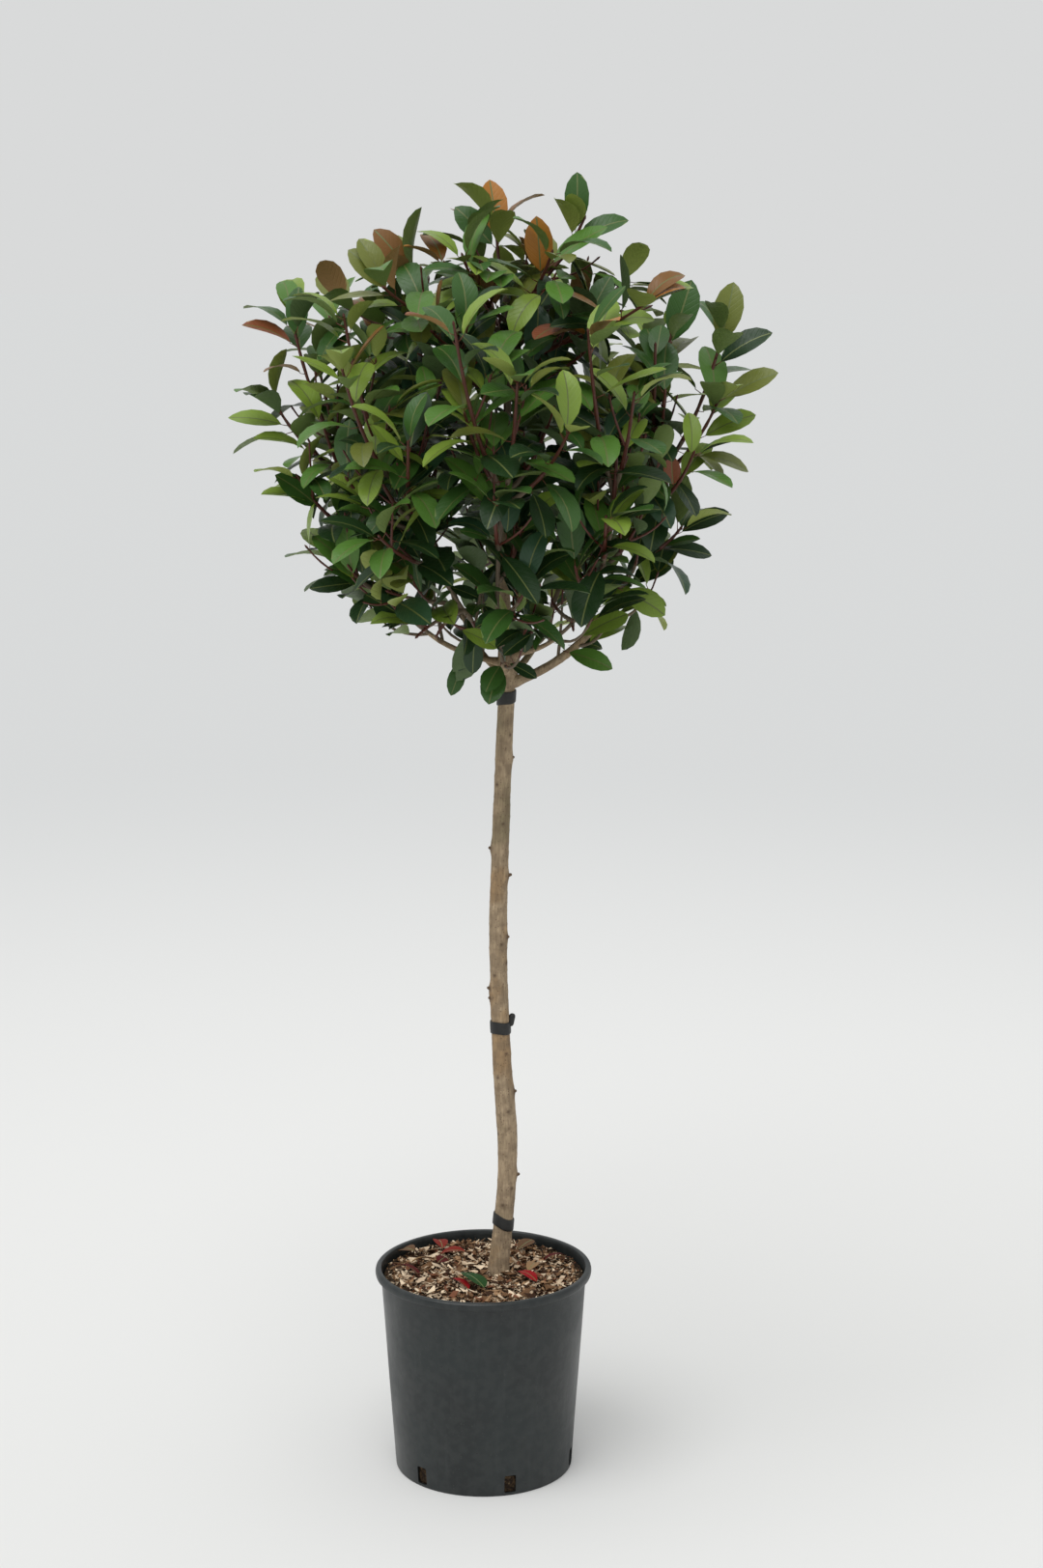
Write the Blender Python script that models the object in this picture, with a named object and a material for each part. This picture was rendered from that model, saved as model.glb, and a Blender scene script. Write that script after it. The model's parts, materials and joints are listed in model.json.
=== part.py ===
"""Potted photinia: a half standard, a leafy ball on a bare trunk, standing in a round nursery pot.

Sizes are in metres. The middle of the pot's underside is the origin, +Z is up and -Y is the front.
An azimuth is counted from the front, positive towards +X.
"""

import math
import random

import bmesh
import bpy
from mathutils import Matrix, Vector
from mathutils.bvhtree import BVHTree

UP = Vector((0.0, 0.0, 1.0))
GAP = 0.0003
GOLDEN_ANGLE = math.radians(137.508)
SMOOTH_ANGLE = math.radians(40.0)

POT_HEIGHT = 0.300
POT_BASE_RADIUS = 0.1285
POT_WALL_SLOPE = 0.069
POT_WALL = 0.0024
POT_FLOOR = 0.0035
RIM_RADIUS = 0.1565
RIM_HEIGHT = 0.0115
RIM_ROUND = 0.0030
LIP_ROUND = 0.0016
FOOT_ROUND = 0.0020
POT_SIDES = 36

DRAIN_COUNT = 6
DRAIN_WIDTH = 0.017
DRAIN_HEIGHT = 0.026
DRAIN_BOTTOM = 0.0045
DRAIN_CUT_DEPTH = 8 * POT_WALL
DRAIN_FIRST_AZIMUTH = math.radians(17.5)

SOIL_EDGE = 0.280
SOIL_TOP = 0.284
SOIL_FLAT_RADIUS = 0.060
SOIL_SHOULDER = 0.040
SOIL_SHOULDER_DROP = 0.001

TRUNK_FOOT = SOIL_TOP + GAP
TRUNK_TOP = 1.216
# How far right the trunk's centre line is at each height.
TRUNK_BENDS = ((TRUNK_FOOT, 0.021), (0.46, 0.035), (0.62, 0.0265), (0.80, 0.022), (1.02, 0.029), (TRUNK_TOP, 0.038))
TRUNK_FOOT_RADIUS = 0.0140
TRUNK_HEAD_RADIUS = 0.0113
TRUNK_FLARE = 0.0035
TRUNK_FLARE_HEIGHT = 0.018
TRUNK_SWELL = 0.0009
TRUNK_SWELL_HEIGHT = 0.53
TRUNK_SWELL_SPREAD = 0.070
TRUNK_TOP_SHARE = 0.93
HEAD_SWELL = 0.0034
HEAD_HEIGHT = 1.192
HEAD_SPREAD = 0.020
TRUNK_SIDES = 12
TRUNK_STEPS = 80
# Which steps along the trunk carry a ring: close together at the flare and the head.
TRUNK_RINGS = (0, 1, 2, 4, *range(8, 72, 4), 72, 74, 76, 78, 79, 80)

# The stubs of cut side shoots: azimuth in degrees and height.
STUBS = ((-90.0, 0.905), (80.0, 0.866), (-80.0, 0.714), (90.0, 0.569), (95.0, 0.449))
STUB_LENGTH = 0.007
STUB_RADII = (0.0052, 0.0042, 0.0029)
STUB_SIDES = 7
STUB_RISE = 0.35

TIE_HEIGHT = 0.0175
TIE_THICKNESS = 0.0016
TIE_CLEARANCE = 0.0006
# Each tie: name, height, and how steeply it rises towards the right.
TIES = (("tie_lower", 0.367, -0.42), ("tie_middle", 0.657, -0.05), ("tie_upper", 1.132, 0.16))
KNOT_SIZE = (0.0085, 0.0080, 0.0115)
KNOT_SUNK = 0.0008
KNOT_LIFT = 0.003
KNOT_TILT = 12.0

LIMB_SIDES = 7
LIMB_RINGS = 6
LIMB_CLEARANCE = 0.0015
LIMB_TIP_SHARE = 0.62
LIMB_CURVE_REACH = 0.62
LIMB_CURVE_RISE = 0.22

# Each bough: azimuth in degrees, height where it leaves the trunk, root radius, reach and height of its tip.
BOUGHS = {
    "front": (-8.0, 1.168, 0.0045, 0.046, 1.188),
    "front_right": (48.0, 1.192, 0.0042, 0.095, 1.228),
    "right": (90.0, 1.151, 0.0070, 0.150, 1.270),
    "back_right": (136.0, 1.162, 0.0055, 0.090, 1.250),
    "back": (182.0, 1.186, 0.0060, 0.085, 1.262),
    "back_left": (226.0, 1.161, 0.0052, 0.088, 1.240),
    "left": (270.0, 1.180, 0.0050, 0.110, 1.222),
    "front_left": (314.0, 1.203, 0.0046, 0.066, 1.240),
}
LEADER_RADIUS = 0.0080
LEADER_TIP = (0.034, 0.004, 1.440)
LEADER_BEND = (-0.012, 0.004, 0.090)
LEADER_SUNK = 0.010

CROWN_CENTRE = Vector((0.035, 0.0, 1.470))
MASS_REACH = 0.200
MASS_HEIGHT = 1.440
TOP_MASS_HEIGHT = 1.680
SPACE_MARGIN = 0.0006
KNEE_MARGIN = 0.006
KNEE_TRIES = 4
# The crown's underside is a shallow cone that rises outwards from its lowest point.
UNDERSIDE_HEIGHT = 1.105
UNDERSIDE_RISE = 0.50
REACH_LOW = Vector((-0.350, -0.362, 1.120))
REACH_HIGH = Vector((0.408, 0.362, 1.850))

# Tips of the shoots that stand out of the ball's outline or show in front of it.
LEADING_TIPS = (
    (-0.260, 0.00, 1.663), (-0.177, -0.15, 1.657), (-0.125, -0.12, 1.694), (-0.023, -0.08, 1.736),
    (0.020, 0.03, 1.775), (0.095, -0.10, 1.740), (0.139, -0.02, 1.785), (0.217, -0.12, 1.674),
    (0.334, 0.00, 1.654), (0.321, -0.03, 1.542), (0.286, -0.08, 1.475), (0.275, 0.02, 1.365),
    (0.215, 0.00, 1.265), (-0.285, 0.02, 1.540), (-0.250, -0.03, 1.440), (-0.195, 0.00, 1.325),
    (-0.110, -0.02, 1.262), (-0.100, 0.00, 1.715), (-0.185, 0.02, 1.668), (0.200, 0.05, 1.705),
    (0.260, 0.02, 1.655),
)
# Tips of the small shoots that hang beside the fork, in the two front masses.
HANGING_TIPS = {"front": (0.020, -0.088, 1.158), "front_left": (-0.022, -0.060, 1.176)}
SPREAD_REACH = Vector((0.300, 0.300, 0.285))
# Two evenly spread layers of shoot tips: how many, their share of the reach, and their lowest angle from the top.
SPREADS = ((54, 1.0, math.radians(128.0)), (26, 0.60, math.radians(150.0)))
SPREAD_JITTER = 0.07
SHOOT_SPACING = 0.075

SHOOT_RADIUS = 0.0030
SHOOT_TIP_RADIUS = 0.0015
SHOOT_SIDES = 3
SHOOT_RINGS = 3
STEM_SIDES = 6
STEM_RINGS = 6
STEM_RADIUS = 0.0034
SHOOT_REACH_FIRST = 0.62
SHOOT_RISE_LATE = 0.25
# The lowest and highest share of its stem that a shoot leaves from, and how far over the stem its highest tips lie.
STEM_SHARES = (0.12, 0.97)
STEM_OVER = 0.10

LEAF_LENGTH = 0.104
LEAF_WIDTH = 0.054
LEAF_THICKNESS = 0.0018
LEAF_FOLD = 0.13
LEAF_DROOP = 0.10
LEAF_WIDEST = 0.52
LEAF_SAG = 0.16
LEAF_FACING_UP = 0.60
LEAF_SIZES = (0.86, 1.08)
LEAF_SPACING = 0.033
LEAF_START = 0.25
LEAF_ANGLE_LOW = math.radians(72.0)
LEAF_ANGLE_TIP = math.radians(38.0)
TIP_LEAVES = 3
TIP_LEAF_STEP = 0.035
# A leaf that doesn't fit is swung to either side, and made smaller after every third try.
LEAF_TRIES = 9
LEAF_SWING = 0.42
LEAF_SHRINK = 0.88


def start_empty():
    """Take every object out of the scene."""
    for thing in list(bpy.data.objects):
        bpy.data.objects.remove(thing)


def material(name, colour, roughness):
    made = bpy.data.materials.new(name)
    made.use_nodes = True
    shader = made.node_tree.nodes["Principled BSDF"]
    shader.inputs["Base Color"].default_value = (*colour, 1.0)
    shader.inputs["Roughness"].default_value = roughness
    shader.inputs["Metallic"].default_value = 0.0
    made.diffuse_color = (*colour, 1.0)
    return made


def add_object(name, shape, finish, smooth=True):
    """A new object from (points, faces), with its faces pointing out."""
    mesh = bpy.data.meshes.new(name)
    mesh.from_pydata([tuple(point) for point in shape[0]], [], shape[1])
    work = bmesh.new()
    work.from_mesh(mesh)
    bmesh.ops.recalc_face_normals(work, faces=work.faces)
    work.to_mesh(mesh)
    work.free()
    mesh.materials.append(finish)
    if smooth:
        mesh.shade_smooth()
        mesh.set_sharp_from_angle(angle=SMOOTH_ANGLE)
    made = bpy.data.objects.new(name, mesh)
    bpy.context.scene.collection.objects.link(made)
    return made


def outward(azimuth):
    """The level direction at this azimuth."""
    return Vector((math.sin(azimuth), -math.cos(azimuth), 0.0))


def bezier(points, at):
    """The point at a share of the way along the Bezier curve that these points steer."""
    points = [Vector(point) for point in points]
    while len(points) > 1:
        points = [first.lerp(second, at) for first, second in zip(points, points[1:])]
    return points[0]


def through(points, count):
    """count + 1 places along a smooth curve through the given points."""
    points = [Vector(point) for point in points]
    ends = [2 * points[0] - points[1], *points, 2 * points[-1] - points[-2]]
    found = []
    for step in range(count + 1):
        at = step / count * (len(points) - 1)
        span = min(int(at), len(points) - 2)
        t = at - span
        before, start, end, after = ends[span : span + 4]
        found.append(
            0.5 * (
                2 * start
                + (end - before) * t
                + (2 * before - 5 * start + 4 * end - after) * t**2
                + (3 * start - before - 3 * end + after) * t**3
            )
        )
    return found


def add_box(name, size, place, turn, finish):
    """A box of this size, turned and then moved to its place."""
    work = bmesh.new()
    bmesh.ops.create_cube(work, size=1.0, matrix=Matrix.Diagonal((*size, 1.0)))
    mesh = bpy.data.meshes.new(name)
    work.to_mesh(mesh)
    work.free()
    mesh.materials.append(finish)
    made = bpy.data.objects.new(name, mesh)
    made.location = place
    made.rotation_euler = turn
    bpy.context.scene.collection.objects.link(made)
    return made


def tube(path, radii, sides, level_ends=False):
    """A closed tapering tube of flat-sided rings along a path."""
    points = []
    faces = []
    across = None
    for i, centre in enumerate(path):
        along = (path[min(i + 1, len(path) - 1)] - path[max(i - 1, 0)]).normalized()
        if level_ends and i in (0, len(path) - 1):
            along = UP
        if across is None:
            across = along.orthogonal()
        across = (across - along * across.dot(along)).normalized()
        beside = along.cross(across)
        for side in range(sides):
            turn = math.tau * side / sides
            points.append(centre + radii[i] * (math.cos(turn) * across + math.sin(turn) * beside))
    for i in range(len(path) - 1):
        for side in range(sides):
            after = (side + 1) % sides
            low = i * sides
            faces.append((low + side, low + after, low + sides + after, low + sides + side))
    faces.append(tuple(reversed(range(sides))))
    faces.append(tuple(range(len(points) - sides, len(points))))
    return points, faces


def turned(name, profile, finish):
    """A body of revolution about the Z axis from its (radius, height) outline, spun by Blender."""
    work = bmesh.new()
    corners = [work.verts.new((radius, 0.0, height)) for radius, height in profile]
    edges = [work.edges.new(pair) for pair in zip(corners, corners[1:])]
    bmesh.ops.spin(
        work, geom=corners + edges, cent=(0.0, 0.0, 0.0), axis=UP, angle=math.tau, steps=POT_SIDES, use_merge=True
    )
    bmesh.ops.remove_doubles(work, verts=work.verts, dist=1e-6)
    bmesh.ops.recalc_face_normals(work, faces=work.faces)
    mesh = bpy.data.meshes.new(name)
    work.to_mesh(mesh)
    work.free()
    mesh.materials.append(finish)
    mesh.shade_smooth()
    mesh.set_sharp_from_angle(angle=SMOOTH_ANGLE)
    made = bpy.data.objects.new(name, mesh)
    bpy.context.scene.collection.objects.link(made)
    return made


def apply_boolean(host, others, operation):
    """Cut or join the host with all the other objects at once, then remove them."""
    group = bpy.data.collections.new(host.name + "_others")
    bpy.context.scene.collection.children.link(group)
    for other in others:
        for holder in other.users_collection:
            holder.objects.unlink(other)
        group.objects.link(other)
    step = host.modifiers.new("join", "BOOLEAN")
    step.operation = operation
    step.operand_type = "COLLECTION"
    step.collection = group
    step.solver = "EXACT"
    bpy.context.view_layer.objects.active = host
    bpy.ops.object.modifier_apply(modifier=step.name)
    for other in others:
        bpy.data.objects.remove(other)
    bpy.data.collections.remove(group)


def keep_main_shell(host):
    """Drop loose scraps and the inner skins of sealed hollows."""
    work = bmesh.new()
    work.from_mesh(host.data)
    unseen = set(work.verts)
    shells = []
    while unseen:
        shell = set()
        front = [unseen.pop()]
        while front:
            vert = front.pop()
            shell.add(vert)
            for edge in vert.link_edges:
                other = edge.other_vert(vert)
                if other in unseen:
                    unseen.remove(other)
                    front.append(other)
        shells.append(shell)
    shells.sort(key=len)
    scraps = [vert for shell in shells[:-1] for vert in shell]
    bmesh.ops.delete(work, geom=scraps, context="VERTS")
    work.to_mesh(host.data)
    work.free()


def wall_radius(height):
    """The pot wall's outer radius at a height."""
    return POT_BASE_RADIUS + POT_WALL_SLOPE * height


def build_pot(finish):
    """The pot with its rolled rim and a ring of drain slots just above its foot."""
    rim_low = POT_HEIGHT - RIM_HEIGHT
    inner_top = wall_radius(POT_HEIGHT) - POT_WALL
    profile = (
        (0.0, 0.0),
        (POT_BASE_RADIUS - FOOT_ROUND, 0.0),
        (POT_BASE_RADIUS, FOOT_ROUND),
        (wall_radius(rim_low), rim_low),
        (RIM_RADIUS - RIM_ROUND, rim_low),
        (RIM_RADIUS, rim_low + RIM_ROUND),
        (RIM_RADIUS, POT_HEIGHT - RIM_ROUND),
        (RIM_RADIUS - RIM_ROUND, POT_HEIGHT),
        (inner_top + LIP_ROUND, POT_HEIGHT),
        (inner_top, POT_HEIGHT - LIP_ROUND),
        (wall_radius(POT_FLOOR) - POT_WALL, POT_FLOOR),
        (0.0, POT_FLOOR),
    )
    pot = turned("pot", profile, finish)
    for k in range(DRAIN_COUNT):
        azimuth = DRAIN_FIRST_AZIMUTH + k * math.tau / DRAIN_COUNT
        middle = DRAIN_BOTTOM + DRAIN_HEIGHT / 2
        place = outward(azimuth) * wall_radius(middle) + UP * middle
        size = (DRAIN_WIDTH, DRAIN_CUT_DEPTH, DRAIN_HEIGHT)
        cutter = add_box(f"drain_cutter_{k}", size, place, (0.0, 0.0, azimuth), finish)
        cutter.hide_render = True
        cutter.display_type = "WIRE"
        step = pot.modifiers.new(cutter.name, "BOOLEAN")
        step.operation = "DIFFERENCE"
        step.solver = "EXACT"
        step.object = cutter
    return pot


def build_soil(finish):
    """The compost that fills the pot, slightly domed, flat round the trunk's foot."""
    inside = POT_WALL + 2 * GAP
    floor = POT_FLOOR + GAP
    profile = (
        (0.0, floor),
        (wall_radius(floor) - inside, floor),
        (wall_radius(SOIL_EDGE) - inside, SOIL_EDGE),
        (SOIL_FLAT_RADIUS + SOIL_SHOULDER, SOIL_TOP - SOIL_SHOULDER_DROP),
        (SOIL_FLAT_RADIUS, SOIL_TOP),
        (0.0, SOIL_TOP),
    )
    return turned("soil", profile, finish)


def trunk_path(count):
    """The trunk's centre line in this many steps."""
    return through([(x, 0.0, z) for z, x in TRUNK_BENDS], count)


def trunk_radius(height):
    """Taper, root flare, a slight swelling low down and the pruned head's swelling."""
    share = (height - TRUNK_FOOT) / (TRUNK_TOP - TRUNK_FOOT)
    radius = TRUNK_FOOT_RADIUS + (TRUNK_HEAD_RADIUS - TRUNK_FOOT_RADIUS) * share
    radius += TRUNK_FLARE * math.exp(-(height - TRUNK_FOOT) / TRUNK_FLARE_HEIGHT)
    radius += TRUNK_SWELL * math.exp(-(((height - TRUNK_SWELL_HEIGHT) / TRUNK_SWELL_SPREAD) ** 2))
    return radius + HEAD_SWELL * math.exp(-(((height - HEAD_HEIGHT) / HEAD_SPREAD) ** 2))


def trunk_centre(height):
    """The trunk's centre line at a height."""
    path = trunk_path(TRUNK_STEPS)
    for low, high in zip(path, path[1:]):
        if low.z <= height <= high.z:
            return low.lerp(high, (height - low.z) / (high.z - low.z))
    return path[-1]


def trunk_shape(grow=0.0):
    """The trunk, or one that is larger by this much all round and at its top, for clearances."""
    path = trunk_path(TRUNK_STEPS)
    path = [path[ring] for ring in TRUNK_RINGS]
    radii = [trunk_radius(point.z) + grow for point in path]
    radii[-1] *= TRUNK_TOP_SHARE
    path[-1] = path[-1] + UP * grow
    return tube(path, radii, TRUNK_SIDES, level_ends=True)


def build_trunk(finish):
    """The bare trunk from its flat foot to the pruned head, with the stubs of cut side shoots."""
    trunk = add_object("trunk", trunk_shape(), finish)
    stubs = []
    for number, (azimuth, height) in enumerate(STUBS):
        centre = trunk_centre(height)
        reach = outward(math.radians(azimuth)) + STUB_RISE * UP
        end = centre + reach.normalized() * (trunk_radius(height) + STUB_LENGTH)
        shape = tube([centre, centre.lerp(end, 0.8), end], STUB_RADII, STUB_SIDES)
        stubs.append(add_object(f"stub_{number}", shape, finish))
    apply_boolean(trunk, stubs, "UNION")
    return trunk


def build_tie(name, height, slant, finish):
    """A band round the trunk, higher on one side by its slant. The middle one has its knot on the right."""
    points = []
    faces = []
    for side in range(TRUNK_SIDES):
        turn = math.tau * side / TRUNK_SIDES
        level = Vector((math.cos(turn), math.sin(turn), 0.0))
        for outside, lift in ((0.0, -0.5), (TIE_THICKNESS, -0.42), (TIE_THICKNESS, 0.42), (0.0, 0.5)):
            at = height + lift * TIE_HEIGHT + slant * trunk_radius(height) * level.x
            radius = trunk_radius(at) + TIE_CLEARANCE + outside
            points.append(trunk_centre(at) + level * radius)
    total = len(points)
    for start in range(0, total, 4):
        for edge in range(4):
            after = (edge + 1) % 4
            nearest = ((start + 4) % total, start)
            faces.append((start + edge, start + after, nearest[0] + after, nearest[0] + edge))
    tie = add_object(name, (points, faces), finish)
    if name == "tie_middle":
        inner = trunk_radius(height) + TIE_CLEARANCE
        place = trunk_centre(height) + Vector((inner + KNOT_SUNK + KNOT_SIZE[0] / 2, 0.0, KNOT_LIFT))
        knot = add_box("knot", KNOT_SIZE, place, (0.0, math.radians(KNOT_TILT), 0.0), finish)
        apply_boolean(tie, [knot], "UNION")
    return tie


def bough_path(azimuth, start, reach, height, count):
    """A bough's centre line: level at first, then bending up to its tip."""
    root = trunk_centre(start)
    tip = root + outward(math.radians(azimuth)) * reach
    tip.z = height
    knee = root + outward(math.radians(azimuth)) * reach * LIMB_CURVE_REACH
    knee.z = start + (height - start) * LIMB_CURVE_RISE
    return [bezier((root, knee, tip), step / count) for step in range(count + 1)]


def build_bough(name, path, root_radius, finish):
    """One tapering limb. Its root is cut to the trunk's surface, a gap clear of it."""
    last = len(path) - 1
    radii = [root_radius * (1 + (LIMB_TIP_SHARE - 1) * i / last) for i in range(last + 1)]
    bough = add_object(name, tube(path, radii, LIMB_SIDES), finish)
    cutter = add_object("trunk_clearance", trunk_shape(grow=GAP), finish)
    apply_boolean(bough, [cutter], "DIFFERENCE")
    return bough


def mass_centres():
    """The middle of each mass's space: a ring of eight round the crown's axis, and one on top."""
    centres = {"top": Vector((CROWN_CENTRE.x, CROWN_CENTRE.y, TOP_MASS_HEIGHT))}
    for k, name in enumerate(BOUGHS):
        centre = CROWN_CENTRE + outward(k * math.tau / len(BOUGHS)) * MASS_REACH
        centre.z = MASS_HEIGHT
        centres[name] = centre
    return centres


def in_space(point, own, others, margin):
    """Whether a point is nearer to its own mass's middle than to any other's, by the margin."""
    for other in others:
        apart = other - own
        if (point - (own + other) / 2).dot(apart.normalized()) > -margin:
            return False
    return True


def in_outline(point):
    """Whether a point is over the crown's sloping underside and within the furthest reach."""
    across = math.hypot(point.x - CROWN_CENTRE.x, point.y)
    if point.z < UNDERSIDE_HEIGHT + UNDERSIDE_RISE * across:
        return False
    return all(low < value < high for low, value, high in zip(REACH_LOW, point, REACH_HIGH))


def spread_tips():
    """Tips evenly spread over each layer by the golden angle, each a little in or out of it."""
    tips = []
    for count, share, lowest in SPREADS:
        for k in range(count):
            chance = random.Random(100 * count + k)
            cosine = 1 - (k + 0.5) / count * (1 - math.cos(lowest))
            sine = math.sqrt(1 - cosine**2)
            level = outward(k * GOLDEN_ANGLE)
            way = Vector((level.x * sine, level.y * sine, cosine))
            reach = share + chance.uniform(-SPREAD_JITTER, SPREAD_JITTER)
            tips.append(CROWN_CENTRE + Vector(a * b for a, b in zip(way, SPREAD_REACH)) * reach)
    return tips


def shoot_tips():
    """Where every shoot ends: those that stand out, then the even spread with none too near them."""
    leading = [Vector(tip) for tip in LEADING_TIPS]
    tips = list(leading)
    for tip in spread_tips():
        if all((tip - other).length > SHOOT_SPACING for other in leading):
            tips.append(tip)
    return tips


def shoot_path(stem, tip, own, others, count):
    """A shoot's centre line from its place on the stem: outward at first, then bending up to its tip."""
    share = (tip.z - stem[0].z) / (stem[-1].z + STEM_OVER - stem[0].z)
    root = bezier(stem, min(max(share, STEM_SHARES[0]), STEM_SHARES[1]))
    knee = root.lerp(tip, SHOOT_REACH_FIRST)
    knee.z = root.z + (tip.z - root.z) * SHOOT_RISE_LATE
    for attempt in range(KNEE_TRIES):
        if in_space(knee, own, others, KNEE_MARGIN):
            break
        knee = knee.lerp((root + tip) / 2, 0.5)
    return [bezier((root, knee, tip), step / count) for step in range(count + 1)]


def leaf_shape(root, along, upper, length, width):
    """A thin folded, drooping blade of eight faces. Its root is the first point."""
    across = along.cross(upper).normalized()
    upper = across.cross(along).normalized()
    middle = root + along * length * LEAF_WIDEST
    lift = upper * width * LEAF_FOLD
    half = across * width / 2
    tip = root + along * length - upper * length * LEAF_DROOP
    thick = upper * LEAF_THICKNESS / 2
    points = (root, middle + half + lift, tip, middle - half + lift, middle + thick, middle - thick)
    faces = []
    for i in range(4):
        after = (i + 1) % 4
        faces.append((4, i, after))
        faces.append((5, after, i))
    return points, faces


def leaf_frame(axis, roll, angle):
    """A leaf's direction and upper side, from its shoot's direction, its turn round it and its spread."""
    side = axis.orthogonal().normalized()
    side = Matrix.Rotation(roll, 3, axis) @ side
    along = (axis * math.cos(angle) + side * math.sin(angle) - UP * LEAF_SAG).normalized()
    upper = axis.lerp(UP, LEAF_FACING_UP)
    upper = (upper - along * upper.dot(along)).normalized()
    return along, upper


def tree_of(shape):
    """A search tree over a shape's faces, to see what it touches."""
    return BVHTree.FromPolygons([tuple(point) for point in shape[0]], shape[1])


def leaf_places(path, chance):
    """(place, direction, turn, spread, size) of each leaf wanted on a shoot, tip first."""
    length = sum((b - a).length for a, b in zip(path, path[1:]))
    count = max(int(length * (1 - LEAF_START) / LEAF_SPACING), 1)
    turn = chance.uniform(0, math.tau)
    last = len(path) - 1
    for k in range(count + TIP_LEAVES):
        if k < TIP_LEAVES:
            share = 0.99 - TIP_LEAF_STEP * k
        else:
            share = 1.0 - (k - TIP_LEAVES + 1) / count * (1 - LEAF_START)
        at = min(share * last, last - 0.001)
        span = int(at)
        place = path[span].lerp(path[span + 1], at - span)
        axis = (path[span + 1] - path[span]).normalized()
        angle = LEAF_ANGLE_LOW + (LEAF_ANGLE_TIP - LEAF_ANGLE_LOW) * max(share - 0.5, 0) * 2
        size = chance.uniform(*LEAF_SIZES)
        turn += GOLDEN_ANGLE
        yield place, axis, turn, angle, size


def grow_leaves(path, seed, own, others, limbs, taken):
    """The leaves of one shoot that keep to the mass's space and clear of limbs and other leaves."""
    grown = []
    chance = random.Random(seed)
    for place, axis, turn, angle, size in leaf_places(path, chance):
        for attempt in range(LEAF_TRIES):
            swing = attempt * LEAF_SWING * (-1) ** attempt
            along, upper = leaf_frame(axis, turn + swing, angle)
            fitted = size * LEAF_SHRINK ** (attempt // 3)
            shape = leaf_shape(place, along, upper, LEAF_LENGTH * fitted, LEAF_WIDTH * fitted)
            if not all(in_space(point, own, others, SPACE_MARGIN) for point in shape[0]):
                continue
            if not all(in_outline(point) for point in shape[0][1:]):
                continue
            tree = tree_of(shape)
            if any(tree.overlap(limb) for limb in limbs + taken):
                continue
            taken.append(tree)
            grown.append(shape)
            break
    return grown


def build_mass(name, stem_points, tips, own, others, limbs, finish):
    """One mass of foliage: a stem from its bough's tip, its shoots, and their leaves, joined."""
    stem_path = [bezier(stem_points, step / STEM_RINGS) for step in range(STEM_RINGS + 1)]
    radii = [STEM_RADIUS + (SHOOT_RADIUS - STEM_RADIUS) * i / STEM_RINGS for i in range(STEM_RINGS + 1)]
    stem = tube(stem_path, radii, STEM_SIDES)
    host = add_object(f"foliage_{name}", stem, finish, smooth=False)
    shapes = []
    taken = []
    for number, tip in enumerate(tips):
        path = shoot_path(stem_points, tip, own, others, SHOOT_RINGS)
        radii = [SHOOT_RADIUS + (SHOOT_TIP_RADIUS - SHOOT_RADIUS) * i / SHOOT_RINGS for i in range(len(path))]
        shoot = tube(path, radii, SHOOT_SIDES)
        if not all(in_space(point, own, others, SPACE_MARGIN) for point in shoot[0]):
            continue
        if any(tree_of(shoot).overlap(limb) for limb in limbs):
            continue
        shapes.append(shoot)
        shapes.extend(grow_leaves(path, f"{name} {number}", own, others, limbs, taken))
    parts = [add_object(f"{name}_{k}", shape, finish, smooth=False) for k, shape in enumerate(shapes)]
    apply_boolean(host, parts, "UNION")
    keep_main_shell(host)


def build_crown(bark, leaf):
    """The boughs, and a mass of foliage on the end of each."""
    paths = {}
    limb_shapes = [trunk_shape(grow=LIMB_CLEARANCE)]
    for name, (azimuth, start, radius, reach, height) in BOUGHS.items():
        paths[name] = bough_path(azimuth, start, reach, height, LIMB_RINGS)
        build_bough(f"bough_{name}", paths[name], radius, bark)
        limb_shapes.append(tube(paths[name], [radius + LIMB_CLEARANCE] * (LIMB_RINGS + 1), LIMB_SIDES))
    foot = trunk_centre(TRUNK_TOP) - UP * LEADER_SUNK
    leader = (foot, foot + Vector(LEADER_BEND), Vector(LEADER_TIP))
    paths["top"] = [bezier(leader, step / LIMB_RINGS) for step in range(LIMB_RINGS + 1)]
    build_bough("leader", paths["top"], LEADER_RADIUS, bark)
    limb_shapes.append(tube(paths["top"], [LEADER_RADIUS + LIMB_CLEARANCE] * (LIMB_RINGS + 1), LIMB_SIDES))
    limbs = [tree_of(shape) for shape in limb_shapes]
    centres = mass_centres()
    tips = shoot_tips()
    for name, own in centres.items():
        others = [centre for other, centre in centres.items() if other != name]
        mine = [tip for tip in tips if in_space(tip, own, others, 0.0)]
        if name in HANGING_TIPS:
            mine.append(Vector(HANGING_TIPS[name]))
        end = paths[name][-1]
        along = (end - paths[name][-2]).normalized()
        foot = end + along * GAP
        middle = foot + along * (own - foot).length / 2
        build_mass(name, (foot, middle, own), mine, own, others, limbs, leaf)


def build():
    start_empty()
    plastic = material("black pot plastic", (0.045, 0.050, 0.053), 0.45)
    compost = material("bark mulch", (0.42, 0.33, 0.23), 0.9)
    bark = material("bark", (0.33, 0.27, 0.20), 0.85)
    leaf = material("leaf", (0.035, 0.11, 0.030), 0.4)
    band = material("tie rubber", (0.012, 0.012, 0.013), 0.6)
    build_pot(plastic)
    build_soil(compost)
    build_trunk(bark)
    for name, height, slant in TIES:
        build_tie(name, height, slant, band)
    build_crown(bark, leaf)


build()
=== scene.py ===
"""Looks of the potted photinia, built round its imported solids.

Sizes are in metres. The middle of the pot's underside is the origin, +Z is up and -Y is the front.
An azimuth is counted from the front, positive towards +X.
"""

import bisect
import json
import math
import random

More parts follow.
